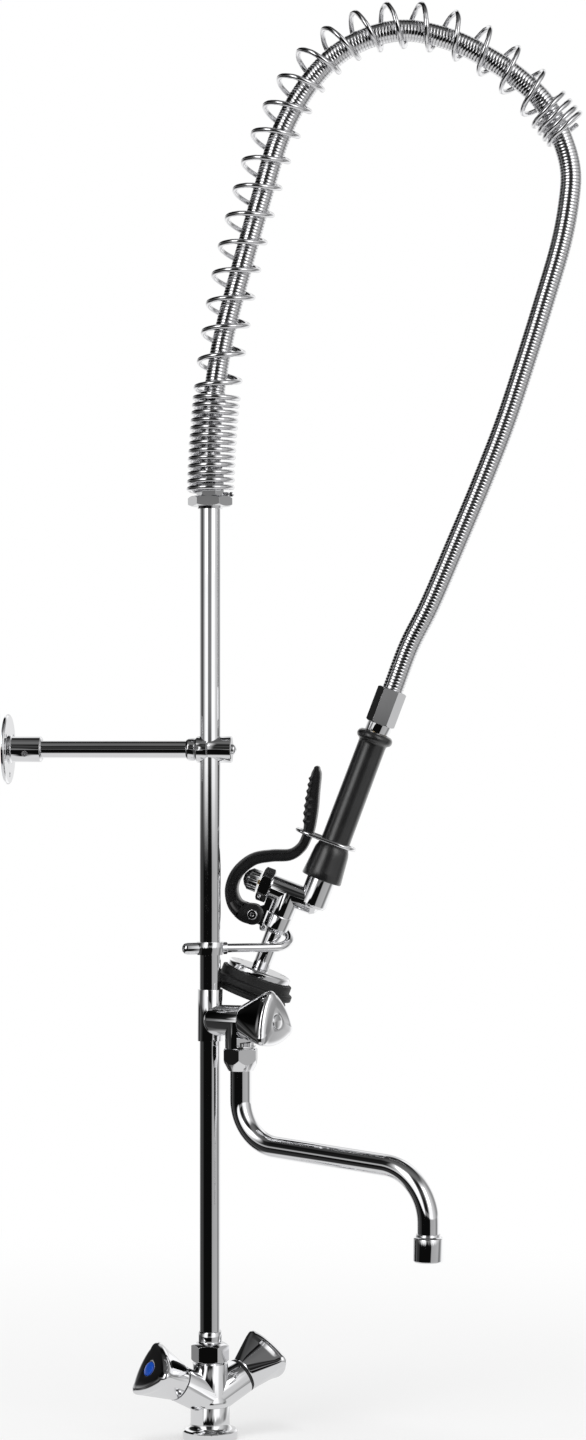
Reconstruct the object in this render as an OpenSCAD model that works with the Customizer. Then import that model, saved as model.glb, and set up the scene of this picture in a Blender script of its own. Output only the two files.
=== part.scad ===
// Commercial pre-rinse kitchen faucet: deck mixer, riser with wall stay, mid tap with swing spout,
// sprung hose arch, and a spray gun parked in a hook. Origin: centre of the underside of the base, on the
// riser's axis; +Z up, the wall on the -X side, the arch towards +X.

/* [Riser] */
// Outer diameter of the riser tubes
riser_d = 18; // [16:0.5:19]
// Wall of the riser tubes
riser_wall = 1.2; // [0.8:0.1:2]
// Radial clearance of a tube in its socket
socket_gap = 0.05; // [0.02:0.01:0.15]
// Running clearance between pieces that turn or slide on each other
run_gap = 0.1; // [0.05:0.05:0.3]
// Height of the top of the spring seat above the deck
seat_top = 800; // [760:5:840]

/* [Base] */
// Radius of the base flange on the deck
flange_r = 23.3; // [22:0.1:28]
// Thickness of the flange edge
flange_edge = 6.5; // [4:0.5:8]
// Radius of the waist above the flange
waist_r = 16.6; // [16:0.1:17.5]
// Radius of the upright turret that takes the riser
turret_r = 15.2; // [14.6:0.1:16]
// Top of the turret above the deck
turret_top = 63.7; // [60:0.1:68]
// Radius of the two tap arms
arm_r = 15.2; // [14.6:0.1:15.6]
// Rise of the tap arms above level
arm_rise = 27.5; // [22:0.5:30]
// Direction of the hot arm in plan, the cold one lies opposite
arm_turn = 37; // [25:1:50]
// Height at which the arms' axes meet the riser's axis
arm_z = 33.5; // [32:0.5:36]
// Length of each arm from the riser's axis
arm_len = 34; // [33:0.5:38]
// Radius of the thread core of an inlet port
inlet_r = 4.5; // [4:0.1:5]
// Depth of an inlet port
inlet_depth = 14; // [10:1:16]
// Distance of the inlet ports from the centre
inlet_offset = 8.5; // [8:0.1:9.5]
// Radius of the thread core of the fixing stud hole
stud_r = 3.4; // [3:0.1:3.6]
// Depth of the fixing stud hole
stud_depth = 12; // [8:1:14]
// Distance of the stud hole from the centre
stud_offset = 10.5; // [9.5:0.1:11]
// Outer radius of the rubber gasket under the flange
gasket_r = 21; // [20:0.1:21.5]
// Width of the gasket ring
gasket_w = 2.5; // [2:0.1:3]
// Thickness of the gasket
gasket_t = 2; // [1.5:0.1:3]

/* [Taps] */
// Radius of a headwork body inside its arm
cartridge_r = 9.4; // [8.6:0.1:9.8]
// Length of a headwork body inside its arm
cartridge_len = 18; // [16:0.5:19]
// Width across the flats of the headwork's nose
cartridge_flats = 17; // [14:0.5:18]
// Length of the headwork's nose beyond the arm
nose_len = 5; // [4:0.5:6]
// Radius of a spindle
spindle_r = 3.9; // [3:0.1:4.2]
// Length of a spindle beyond the arm
spindle_out = 24; // [20:0.5:25]
// Thickness of the rubber ring between arm and handle
seal_t = 2.4; // [1.6:0.1:3]
// Depth of a handle from its rear rim to its face
handle_depth = 32.8; // [28:0.2:34]
// Radius of the round rear rim of a handle
handle_rear_r = 15; // [14:0.1:15.5]
// Distance of the three lobes of a handle from its axis
lobe_c = 20.2; // [17:0.1:21]
// Radius of the lobes of a handle
lobe_r = 6.4; // [6:0.1:9]
// Bulge of the sides of a handle between its lobes
side_bulge = 3; // [0:0.1:4]
// Radius of the round button in the face of a handle
index_r = 4.8; // [4:0.1:5.5]
// Height that the button stands proud of the face
index_proud = 0.6; // [0.2:0.1:1]

/* [Mid tap] */
// Height of the mid tap's axis
tap_z = 355; // [345:1:380]
// Rise of the mid tap's branch above level
tap_rise = 1.5; // [0:0.1:3]
// Direction of the mid tap in plan
tap_turn = -30; // [-36:1:-20]
// Length of the mid tap's branch from the riser's axis
tap_len = 36.9; // [36:0.1:40]
// Radius of the branch
branch_r = 13.2; // [12.4:0.1:14]
// Radius of the tee sleeve round the riser
tee_r = 10.7; // [10.4:0.1:12]
// Length of the tee sleeve above the tap's axis
tee_up = 26; // [22:0.5:30]
// Length of the tee sleeve below the tap's axis
tee_down = 17.5; // [16:0.5:24]

/* [Spout] */
// Outer diameter of the spout tube
spout_d = 18; // [16:0.5:18.5]
// Wall of the spout tube
spout_wall = 1.2; // [0.8:0.1:2]
// Distance of the swivel axis from the riser's axis
swivel_x = 32; // [31:0.5:33]
// Bottom face of the outlet boss above the deck
boss_bottom = 333; // [331:0.5:334]
// Reach of the spout from swivel axis to outlet axis
spout_reach = 188; // [160:1:220]
// Height of the centre of the first bend
bend_z = 289.6; // [284:0.2:294]
// Radius of the first bend
bend_1_r = 38; // [30:1:44]
// Radius of the second bend
bend_2_r = 44; // [36:1:50]
// Fall of the spout arm below level
spout_fall = 3.4; // [0:0.2:8]
// Length of straight tube below the second bend
outlet_drop = 11.6; // [8:0.2:20]
// Diameter of the aerator housing
aerator_d = 24.4; // [22:0.2:28]
// Height of the aerator housing
aerator_h = 20; // [16:0.5:26]

/* [Wall stay] */
// Height of the wall stay's arm
stay_z = 585; // [540:1:640]
// Distance of the wall face from the riser's axis
wall_x = 175; // [165:1:195]
// Radius of the wall flange
wall_flange_r = 30; // [26:0.5:36]
// Thickness of the wall flange
wall_flange_t = 3; // [2.5:0.1:5]
// Radius of the pitch circle of the three wall screws
wall_pitch_r = 21.5; // [19:0.5:22]
// Radius of a wall screw hole
wall_hole_r = 2.5; // [2:0.1:2.6]
// Outer radius of the arm's socket on the flange
stay_socket_r = 10.9; // [10:0.1:12]
// Length of the arm's socket beyond the flange
stay_socket_len = 28; // [24:1:36]
// Diameter of the arm tube
stay_d = 15; // [12:0.5:16]
// Radius of the clamp that grips the riser
stay_clamp_r = 11.2; // [10.8:0.1:13]

/* [Spring] */
// Diameter of the spring wire
wire_d = 4.4; // [3.5:0.1:4.8]
// Outer diameter of the spring
spring_d = 41; // [40:0.5:44]
// Distance between the curls of the close part above the seat
close_pitch = 6.4; // [5.8:0.1:6.8]
// Distance between the curls along the arch
open_pitch = 24.4; // [22:0.2:25]
// Distance between the curls where the arch falls
fall_pitch = 27.2; // [22:0.2:28]
// Distance between the last curls at the free end
end_pitch = 5.6; // [5.4:0.1:6]
// Width across the corners of the spring's seat nut
seat_corners = 38; // [36:0.5:42]
// Height of the seat nut
seat_h = 8.5; // [6:0.5:12]

/* [Hose] */
// Outer diameter of the ribbed hose, over the ribs
hose_d = 18.4; // [17:0.2:18.6]
// Diameter of the hose between the ribs
hose_valley_d = 16.6; // [15:0.2:16.8]
// Diameter of the hose's bore
hose_bore_d = 10; // [8:0.5:12]
// Number of ribs
hose_ribs = 128; // [80:1:128]

/* [Spray gun] */
// Lean of the gun away from upright
gun_tilt = 20.7; // [19:0.1:22]
// Distance between the grip's axis and the neck's axis
neck_off = 22; // [21:0.2:24]
// Radius of the neck
neck_r = 7.3; // [6.5:0.1:8]
// Distance of the hook's rod below the valve's axis, along the neck
hook_drop = 49.7; // [48:0.1:54]
// Length of the gun from the valve's axis to the top of its hose nut
gun_top = 193.5; // [188:0.5:200]
// Radius of the rubber grip at its top
grip_r = 12.1; // [11.5:0.1:13]
// Radius of the bead at the top of the grip
bead_r = 15.8; // [14:0.1:17]
// Radius of the skirt at the foot of the grip
skirt_r = 17.6; // [16.5:0.1:19]
// Radius of the gun's inlet tube below the skirt
inlet_tube_r = 12.3; // [11.5:0.1:13]
// Radius of the valve barrel
barrel_r = 10.5; // [9.5:0.1:11.5]
// Radius of the fluted push button
button_r = 9.7; // [9:0.1:10.2]
// Distance of the spray plate's top below the valve's axis
plate_drop = 69.7; // [68:0.1:74]
// Radius of the chrome spray plate
plate_r = 27.9; // [26:0.1:29]
// Greatest radius of the rubber bumper
bumper_r = 34.2; // [32:0.1:34.5]
// Radius of the bumper's foot
bumper_foot_r = 31.5; // [30:0.1:32]
// Number of spray holes in the outer ring of the face
spray_holes = 12; // [6:1:16]
// Width of the lever
lever_w = 16; // [14:0.5:18]
// Thickness of the wire of the hold ring
ring_wire_d = 3.4; // [3:0.1:4]

/* [Hook] */
// Height of the hook's rod
hook_z = 416; // [412:0.5:440]
// Direction of the hook in plan
hook_turn = 19; // [16:0.5:22]
// Diameter of the hook's rod
rod_d = 7.6; // [7:0.1:8]
// Distance along the rod from the riser's axis to the parked neck
hook_reach = 53.8; // [51:0.2:56]
// Radius of the hook's bend
hook_bend_r = 15.9; // [15.5:0.1:17]
// Lean of the hook's bend above level
hook_lean = 30; // [24:1:32]

/* [Hidden] */
$fn = 48;
chrome = [0.80, 0.81, 0.83];
brass = [0.78, 0.62, 0.33];
black = [0.10, 0.10, 0.11];
riser_r = riser_d / 2;
riser_hole_r = riser_r + socket_gap;
seat_gap = 0.3;
sin_t = sin(gun_tilt);
cos_t = cos(gun_tilt);
rod_r = rod_d / 2;

// Direction, rise, height, length, lobe phase and handle gap of the three taps: cold, hot, mid
near_gap = 0.3;
far_gap = seal_t + 0.3;
taps = [[arm_turn + 180, arm_rise, arm_z, arm_len, -26, near_gap], [arm_turn, arm_rise, arm_z, arm_len, 30, far_gap],
    [tap_turn, tap_rise, tap_z, tap_len, -9, near_gap]];
function ring_hidden(tap) = tap[5] < seal_t;
function front(tap) = tap[5] + handle_depth;
function index_floor(tap) = front(tap) - 3;

// Places children, built along +Z, with their origin at the end face of an arm and -X upwards
module at_arm_end(tap) {
    rotate([0, 0, tap[0]]) translate([0, 0, tap[2]]) rotate([0, 90 - tap[1], 0]) translate([0, 0, tap[3]])
        children();
}

// A ring with a round section, standing round the Z axis
module o_ring(r, section_r) {
    rotate_extrude($fn = 48) translate([r, 0]) circle(r = section_r, $fn = 24);
}

// A hexagon with its corners turned down by a cone at both ends
module hex_nut(corner_r, h, bevel) {
    intersection() {
        cylinder(h = h, r = corner_r, $fn = 6);
        rotate_extrude($fn = 64) polygon([[0, 0], [corner_r - bevel, 0], [corner_r, bevel * 0.6],
            [corner_r, h - bevel * 0.6], [corner_r - bevel, h], [0, h]]);
    }
}

// Base
module base_body() {
    bore_bottom = 46;
    spigot_r = 12.4;
    spigot_h = 12;
    inlet_slant = 16;
    color(chrome) difference() {
        union() {
            rotate_extrude($fn = 96) polygon(concat(
                [[0, 0], [flange_r, 0], [flange_r, flange_edge], [flange_r - 1.2, flange_edge + 1.4]],
                [for (a = [270:-15:180]) [waist_r + 5.2 + 5.2 * cos(a), flange_edge + 6.6 + 5.2 * sin(a)]],
                [[waist_r, arm_z - 6], [0, arm_z]]));
            translate([0, 0, flange_edge]) cylinder(h = turret_top - flange_edge, r = turret_r);
            translate([0, 0, turret_top]) cylinder(h = spigot_h, r = spigot_r);
            translate([0, 0, arm_z - 3]) sphere(r = waist_r);
            for (i = [0, 1]) at_arm_end(taps[i]) translate([0, 0, -arm_len]) cylinder(h = arm_len, r = arm_r);
        }
        translate([0, 0, bore_bottom]) cylinder(h = turret_top, r = riser_hole_r);
        translate([0, 0, arm_z]) cylinder(h = turret_top, r = riser_r - 3);
        for (z = seal_z) translate([0, 0, z - 0.8]) cylinder(h = 1.6, r = riser_r + 2 * seal_r + 0.1);
        for (i = [0, 1]) at_arm_end(taps[i]) translate([0, 0, -cartridge_len - 1])
            cylinder(h = cartridge_len + 2, r = cartridge_r + run_gap);
        for (side = [0, 180]) rotate([0, 0, arm_turn + side]) {
            translate([inlet_offset, 0, -1]) cylinder(h = inlet_depth + 1, r = inlet_r);
            translate([inlet_offset, 0, inlet_depth - 3]) rotate([0, inlet_slant, 0]) cylinder(h = 30, r = 2.4);
            translate([0, 0, arm_z + 12]) rotate([0, 90, 0]) cylinder(h = 15, r = 3);
        }
        rotate([0, 0, arm_turn]) translate([0, -stud_offset, -1]) cylinder(h = stud_depth + 1, r = stud_r);
        translate([0, 0, -1]) difference() {
            cylinder(h = gasket_t + 0.8, r = gasket_r + run_gap);
            cylinder(h = gasket_t + 0.8, r = gasket_r - gasket_w - run_gap);
        }
    }
}

module base_gasket() {
    color(black) difference() {
        cylinder(h = gasket_t - 0.2, r = gasket_r);
        translate([0, 0, -1]) cylinder(h = gasket_t + 2, r = gasket_r - gasket_w);
    }
}

module column_nut() {
    nut_corner_r = 16.2;
    nut_h = 17;
    spigot_room = 12.3;
    color(chrome) translate([0, 0, turret_top + 0.2]) difference() {
        hex_nut(nut_corner_r, nut_h, 4.2);
        translate([0, 0, -1]) cylinder(h = spigot_room + 1, r = 12.5);
        cylinder(h = nut_h + 1, r = riser_hole_r);
    }
}

module column_collar() {
    collar_h = 9.8;
    color(chrome) translate([0, 0, turret_top + 17.3]) difference() {
        rotate_extrude() polygon([[0, 0], [10, 0], [10, collar_h - 0.8], [9.6, collar_h], [0, collar_h]]);
        translate([0, 0, -1]) cylinder(h = collar_h + 2, r = riser_hole_r);
    }
}

module lower_riser() {
    bottom = 46.2;
    top = tap_z - 4;
    color(chrome) translate([0, 0, bottom]) difference() {
        cylinder(h = top - bottom, r = riser_r);
        translate([0, 0, -1]) cylinder(h = top - bottom + 2, r = riser_r - riser_wall);
    }
}

module upper_riser() {
    bottom = tap_z + 12;
    nipple_h = 15;
    color(chrome) translate([0, 0, bottom]) difference() {
        union() {
            cylinder(h = seat_top - bottom, r = riser_r);
            cylinder(h = seat_top + nipple_h - bottom, r = 7.4);
        }
        translate([0, 0, -1]) cylinder(h = seat_top - bottom, r = riser_r - riser_wall);
        cylinder(h = seat_top + nipple_h - bottom + 1, r = 5);
    }
}

// Rubber rings that seal the riser in the base's spigot
seal_r = 0.6;
seal_z = [turret_top + 3.5, turret_top + 7.5];

module riser_seals() {
    color(black) for (z = seal_z) translate([0, 0, z]) o_ring(riser_r + seal_r + 0.02, seal_r);
}

// Taps
module tap_cartridges() {
    color(brass) for (tap = taps) at_arm_end(tap) difference() {
        union() {
            translate([0, 0, -cartridge_len - 0.5]) cylinder(h = cartridge_len + 1, r = cartridge_r);
            cylinder(h = nose_len, r = cartridge_flats / sqrt(3), $fn = 6);
        }
        translate([0, 0, -cartridge_len + 5]) cylinder(h = cartridge_len + nose_len, r = spindle_r + run_gap);
        translate([0, 0, -cartridge_len + 2]) cylinder(h = 4.5, r = 6.4);
        for (side = [-1, 1]) translate([side * 4.2, 0, -cartridge_len - 1]) cylinder(h = 4, r = 1.8);
    }
}

// The rubber rings show where a handle stands off its arm, and sit inside its skirt where it doesn't
seal_w = 2.4;
skirt_bore_r = handle_rear_r - 1.7;

module tap_seal_rings() {
    color(black) for (tap = taps) let (r = ring_hidden(tap) ? skirt_bore_r - 0.3 : arm_r) at_arm_end(tap)
        rotate_extrude() polygon([[r - seal_w, 0], [r - 0.5, 0], [r, 0.6], [r, seal_t - 0.6], [r - 0.5, seal_t],
            [r - seal_w, seal_t]]);
}

// Points of one section of a handle: three arcs round the lobe centres, joined by bulging sides
function handle_section(c, r, bulge, z) = [for (k = [0:2]) each concat(
    [for (j = [0:6]) let (a = 120 * k - 60 + 20 * j) [c * cos(120 * k) + r * cos(a),
        c * sin(120 * k) + r * sin(a), z]],
    [for (j = [1:3]) let (t = j / 4, a = 120 * k + 60, out = r + bulge * 4 * t * (1 - t),
        m = c * [cos(120 * k), sin(120 * k)] * (1 - t) + c * [cos(120 * k + 120), sin(120 * k + 120)] * t)
        [m.x + out * cos(a), m.y + out * sin(a), z]])];

// Closed solid through sections that have the same number of points
module loft(sections) {
    n = len(sections[0]);
    m = len(sections);
    points = [for (s = sections) each s];
    sides = [for (i = [0:m - 2], j = [0:n - 1]) let (a = i * n + j, b = i * n + (j + 1) % n)
        each [[a, a + n, b], [b, a + n, b + n]]];
    bottom = [for (j = [1:n - 2]) [0, j, j + 1]];
    top = [for (j = [1:n - 2]) [(m - 1) * n, (m - 1) * n + j + 1, (m - 1) * n + j]];
    polyhedron(points = points, faces = concat(sides, bottom, top), convexity = 4);
}

module handle(tap) {
    d = handle_depth;
    color(chrome) at_arm_end(tap) difference() {
        rotate([0, 0, 180 - tap[4]]) translate([0, 0, tap[5]]) loft([
            handle_section(0, handle_rear_r - 1, 0, 0),
            handle_section(0, handle_rear_r, 0, 1),
            handle_section(lobe_c - 1.6, lobe_r, side_bulge * 0.6, d - 9),
            handle_section(lobe_c, lobe_r, side_bulge, d - 5.2),
            handle_section(lobe_c, lobe_r - 0.6, side_bulge, d - 2.6),
            handle_section(lobe_c - 0.8, lobe_r - 2, side_bulge, d - 0.8),
            handle_section(lobe_c - 2.4, lobe_r - 3, side_bulge, d)]);
        if (ring_hidden(tap)) translate([0, 0, -1]) cylinder(h = seal_t + 1.3, r = skirt_bore_r);
        translate([0, 0, -1]) cylinder(h = nose_len + 2, r = 11.4);
        cylinder(h = spindle_out + 0.2, r = spindle_r + socket_gap);
        cylinder(h = front(tap), r = 2.2);
        translate([0, 0, index_floor(tap) - 3]) cylinder(h = 10, r = 4.2);
        translate([0, 0, index_floor(tap)]) cylinder(h = 10, r = index_r + socket_gap);
    }
}

module index_button(tap, tint) {
    color(tint) at_arm_end(tap) translate([0, 0, index_floor(tap)]) rotate_extrude() polygon([[0, 0], [index_r, 0],
        [index_r, 2.6], [index_r - 0.6, 3 + index_proud * 0.6], [index_r - 2, 3 + index_proud],
        [0, 3 + index_proud]]);
}

module handle_screw(tap) {
    head_z = index_floor(tap) - 2.8;
    color(chrome) at_arm_end(tap) difference() {
        union() {
            translate([0, 0, head_z]) cylinder(h = 2.5, r = 4);
            translate([0, 0, spindle_out - 8]) cylinder(h = head_z - spindle_out + 8.1, r = 2);
        }
        translate([0, 0, head_z + 1]) cylinder(h = 3, r = 1.3, $fn = 6);
    }
}

module spindle(tap) {
    color(brass) at_arm_end(tap) difference() {
        union() {
            translate([0, 0, -cartridge_len + 2.3]) cylinder(h = 3.9, r = 6.2);
            translate([0, 0, -cartridge_len + 2.5]) cylinder(h = spindle_out + cartridge_len - 2.5, r = spindle_r);
        }
        translate([0, 0, spindle_out - 9]) cylinder(h = 10, r = 2.02);
    }
}

// Mid tap: the tee sleeve, its domed branch and the outlet boss with the spout's spigot
spigot_bottom = boss_bottom - 8;
spout_seal_r = 0.5;
spout_seal_z = [spigot_bottom + 3, spigot_bottom + 7];

module tee_body() {
    boss_r = branch_r;
    color(chrome) difference() {
        union() {
            translate([0, 0, tap_z - tee_down]) cylinder(h = tee_up + tee_down, r = tee_r);
            at_arm_end(taps[2]) translate([0, 0, -tap_len]) {
                rotate_extrude() polygon(concat([[0, 0]],
                    [for (a = [-90:15:0]) [branch_r * cos(a), 6 + 9 * sin(a)]], [[branch_r, 8], [0, 8]]));
                translate([0, 0, 6]) cylinder(h = tap_len - 6, r = branch_r);
            }
            rotate([0, 0, tap_turn]) intersection() {
                translate([swivel_x, 0, boss_bottom]) cylinder(h = tap_z - boss_bottom, r = boss_r);
                translate([0, -20, boss_bottom]) cube([tap_len, 40, 40]);
            }
            rotate([0, 0, tap_turn]) translate([swivel_x, 0, boss_bottom]) cylinder(h = 2, r = boss_r);
            rotate([0, 0, tap_turn]) translate([swivel_x, 0, spigot_bottom])
                cylinder(h = boss_bottom - spigot_bottom + 1, r = 11.2);
        }
        translate([0, 0, tap_z - tee_down - 1]) cylinder(h = tee_down - 2.8, r = riser_hole_r);
        translate([0, 0, tap_z + 11.8]) cylinder(h = tee_up, r = riser_hole_r);
        translate([0, 0, tap_z - tee_down]) cylinder(h = tee_up + tee_down, r = riser_r - riser_wall);
        at_arm_end(taps[2]) {
            translate([0, 0, -cartridge_len - 1]) cylinder(h = cartridge_len + 2, r = cartridge_r + run_gap);
            translate([0, 0, -tap_len]) cylinder(h = tap_len, r = 5);
        }
        rotate([0, 0, tap_turn]) translate([swivel_x, 0, spigot_bottom - 1]) {
            cylinder(h = 14, r = spout_d / 2 + run_gap);
            cylinder(h = 24, r = 4);
            for (z = spout_seal_z) translate([0, 0, z - spigot_bottom + 1 - spout_seal_r - 0.1])
                cylinder(h = 2 * spout_seal_r + 0.2, r = spout_d / 2 + 2 * spout_seal_r + 0.1);
        }
    }
}

module spout_nut() {
    nut_h = 18.8;
    color(chrome) rotate([0, 0, tap_turn]) translate([swivel_x, 0, boss_bottom - 0.2 - nut_h]) difference() {
        intersection() {
            cylinder(h = nut_h, r = 15.7, $fn = 6);
            rotate_extrude($fn = 64) polygon([[0, 0], [10.6, 0], [14.6, 7.6], [15.7, 9.6], [15.7, nut_h - 1.4],
                [14, nut_h], [0, nut_h]]);
        }
        translate([0, 0, nut_h - 12]) cylinder(h = 13, r = 11.3);
        translate([0, 0, -1]) cylinder(h = nut_h, r = spout_d / 2 + run_gap);
    }
}

// Spout: down, round the first bend, along the falling arm, round the second bend and down
bend_angle = 90 - spout_fall;
arm_x = bend_1_r * (1 - cos(bend_angle));
arm_end_x = spout_reach - bend_2_r + bend_2_r * cos(bend_angle);
arm_run = (arm_end_x - arm_x) / cos(spout_fall);
bend_2_z = bend_z - bend_1_r * sin(bend_angle) - arm_run * sin(spout_fall) - bend_2_r * sin(bend_angle);
outlet_z = bend_2_z - outlet_drop;

module in_spout() {
    rotate([0, 0, tap_turn]) translate([swivel_x, 0, 0]) children();
}

// A ring of points round p, square to the direction run
function ring_at(p, run, r, n) = let (side = unit(cross([0, 1, 0], run)), up = cross(run, side))
    [for (k = [0:n - 1]) p + r * (side * cos(360 * k / n) + up * sin(360 * k / n))];

// A hollow pipe through outer rings and inner rings that start and end at the same planes
module pipe(outer, inner) {
    n = len(outer[0]);
    a = len(outer);
    b = len(inner);
    wall = [for (i = [0:a - 2], j = [0:n - 1]) let (p = i * n + j, q = i * n + (j + 1) % n)
        each [[p, p + n, q], [q, p + n, q + n]]];
    bore = [for (i = [a:a + b - 2], j = [0:n - 1]) let (p = i * n + j, q = i * n + (j + 1) % n)
        each [[p, q, p + n], [q, q + n, p + n]]];
    start = [for (j = [0:n - 1]) let (p = j, q = (j + 1) % n, s = a * n + j, t = a * n + (j + 1) % n)
        each [[p, q, s], [q, t, s]]];
    end = [for (j = [0:n - 1]) let (p = (a - 1) * n + j, q = (a - 1) * n + (j + 1) % n,
        s = (a + b - 1) * n + j, t = (a + b - 1) * n + (j + 1) % n) each [[p, s, q], [q, s, t]]];
    polyhedron(points = [for (ring = concat(outer, inner)) each ring], faces = concat(wall, bore, start, end),
        convexity = 6);
}

// Each stop on the spout's centre line is [x, z, degrees turned from straight down]
spout_sides = 32;
bend_steps = 10;
spout_top = boss_bottom + 4.5;
spout_stops = concat([for (i = [0:bend_steps]) let (a = bend_angle * i / bend_steps)
    [bend_1_r * (1 - cos(a)), bend_z - bend_1_r * sin(a), a]],
    [for (i = [0:bend_steps]) let (a = bend_angle * (1 - i / bend_steps))
    [spout_reach - bend_2_r + bend_2_r * cos(a), bend_2_z + bend_2_r * sin(a), a]],
    [[spout_reach, outlet_z, 0]]);
function spout_ring(stop, r) = ring_at([stop[0], 0, stop[1]], [sin(stop[2]), 0, -cos(stop[2])], r, spout_sides);

module spout_tube() {
    r = spout_d / 2;
    lip = [[spout_top, r], [spigot_bottom - 0.3, r], [spigot_bottom - 0.3, 10.9], [spigot_bottom - 3.6, 10.9],
        [spigot_bottom - 3.6, r]];
    color(chrome) in_spout() pipe(
        concat([for (q = lip) spout_ring([0, q[0], 0], q[1])], [for (q = spout_stops) spout_ring(q, r)]),
        concat([spout_ring([0, spout_top, 0], r - spout_wall)],
            [for (q = spout_stops) spout_ring(q, r - spout_wall)]));
}

module spout_seals() {
    color(black) in_spout() for (z = spout_seal_z) translate([0, 0, z])
        o_ring(spout_d / 2 + 0.05 + spout_seal_r, spout_seal_r);
}

module aerator_housing() {
    r = aerator_d / 2;
    color(chrome) in_spout() translate([spout_reach, 0, outlet_z]) difference() {
        rotate_extrude() polygon([[0, 2.5], [10, 2.5], [10.2, 0.6], [r - 0.8, 0], [r, -0.8],
            [r, 1 - aerator_h], [r - 0.8, -aerator_h], [0, -aerator_h]]);
        translate([0, 0, -6]) cylinder(h = 10, r = spout_d / 2 + socket_gap);
        translate([0, 0, -aerator_h - 1]) cylinder(h = aerator_h, r = r - 1.7);
    }
}

module aerator_insert() {
    r = aerator_d / 2 - 1.75;
    hole_r = 1.1;
    color(black) in_spout() translate([spout_reach, 0, outlet_z - aerator_h + 1.2]) difference() {
        cylinder(h = 6, r = r);
        translate([0, 0, 2]) cylinder(h = 6, r = r - 1.4);
        for (ring = [0:2], i = [0:max(0, 6 * ring - 1)]) rotate([0, 0, ring == 0 ? 0 : 60 * i / ring])
            translate([3.2 * ring, 0, -1]) cylinder(h = 5, r = hole_r, $fn = 16);
    }
}

// Wall stay
flange_front = -wall_x + wall_flange_t;

module along_x(x) {
    translate([x, 0, stay_z]) rotate([0, 90, 0]) children();
}

module wall_flange() {
    color(chrome) along_x(-wall_x) difference() {
        union() {
            rotate_extrude($fn = 96) polygon([[0, 0], [wall_flange_r, 0], [wall_flange_r, wall_flange_t - 1.2],
                [wall_flange_r - 1, wall_flange_t], [0, wall_flange_t]]);
            cylinder(h = wall_flange_t + 5, r = stay_socket_r - 3.2);
        }
        for (a = [0:120:240]) rotate([0, 0, a]) translate([wall_pitch_r, 0, -1]) {
            cylinder(h = wall_flange_t + 2, r = wall_hole_r);
        }
    }
}

module wall_socket() {
    color(chrome) along_x(flange_front) difference() {
        rotate_extrude() polygon([[0, 0.05], [stay_socket_r + 1.6, 0.05], [stay_socket_r + 1.6, 1.4],
            [stay_socket_r, 2.4], [stay_socket_r, stay_socket_len - 1.4], [stay_socket_r - 1.6, stay_socket_len],
            [0, stay_socket_len]]);
        translate([0, 0, -1]) cylinder(h = 6.2, r = stay_socket_r - 3.1);
        translate([0, 0, 5.4]) cylinder(h = stay_socket_len, r = stay_d / 2 + run_gap);
        rotate([0, 0, -70]) translate([0, 0, stay_socket_len / 2]) rotate([0, 90, 0])
            cylinder(h = stay_socket_r + 2, r = 2.6);
    }
}

module socket_grub_screw() {
    color(chrome) along_x(flange_front) rotate([0, 0, -70]) translate([stay_d / 2 + 0.2, 0, stay_socket_len / 2])
        rotate([0, 90, 0]) difference() {
            cylinder(h = stay_socket_r - stay_d / 2 + 0.1, r = 2.55);
            translate([0, 0, 1.4]) cylinder(h = 4, r = 1.5, $fn = 6);
        }
}

// The arm can be pushed deeper into its socket when the grub screw is slack
stay_arm_start = -wall_x + 20;
clamp_left = -13;

module stay_arm() {
    color(chrome) along_x(stay_arm_start) difference() {
        cylinder(h = clamp_left - stay_arm_start - 1, r = stay_d / 2);
        translate([0, 0, -1]) cylinder(h = clamp_left - stay_arm_start - 1, r = stay_d / 2 - 1.2);
    }
}

module stay_ferrule() {
    ferrule_h = 7.2;
    color(chrome) along_x(clamp_left - ferrule_h - 0.1) difference() {
        rotate_extrude() polygon([[0, 0], [8.2, 0], [9.6, 1.8], [9.6, ferrule_h], [0, ferrule_h]]);
        translate([0, 0, -1]) cylinder(h = ferrule_h + 2, r = stay_d / 2 + socket_gap);
    }
}

// The clamp is a short bar across the riser, split where its cap starts
clamp_split = -1.6;
clamp_right = 18.7;
lock_x = -10.7;
lock_r = 2.2;

module clamp_half(from, to, round_left) {
    difference() {
        along_x(from) rotate_extrude($fn = 64) polygon([[0, 0], [stay_clamp_r - round_left, 0],
            [stay_clamp_r, round_left], [stay_clamp_r, to - from - 0.6], [stay_clamp_r - 0.6, to - from],
            [0, to - from]]);
        translate([0, 0, stay_z - 20]) cylinder(h = 40, r = riser_r + run_gap);
    }
}

module clamp_body() {
    color(chrome) difference() {
        clamp_half(clamp_left, clamp_split - 0.2, 2);
        along_x(clamp_left - 1) cylinder(h = 2.2, r = stay_d / 2 + socket_gap);
        translate([lock_x, 0, stay_z + 1.5]) rotate([90, 0, 0]) cylinder(h = 20, r = lock_r + 0.05);
    }
}

module clamp_cap() {
    color(chrome) difference() {
        clamp_half(clamp_split, clamp_right, 0.6);
        along_x(riser_r - 1) cylinder(h = 20, r = 2.6);
    }
}

module clamp_bolt() {
    color(chrome) along_x(riser_r + 0.3) difference() {
        union() {
            cylinder(h = clamp_right - riser_r - 0.2, r = 2.5);
            translate([0, 0, clamp_right - riser_r - 0.25]) rotate_extrude() polygon(concat([[0, 0], [4.6, 0]],
                [for (a = [0:15:90]) [4.6 * cos(a), 0.6 + 3 * sin(a)]]));
        }
        translate([0, 0, clamp_right - riser_r + 1.6]) cylinder(h = 4, r = 1.6, $fn = 6);
    }
}

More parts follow.
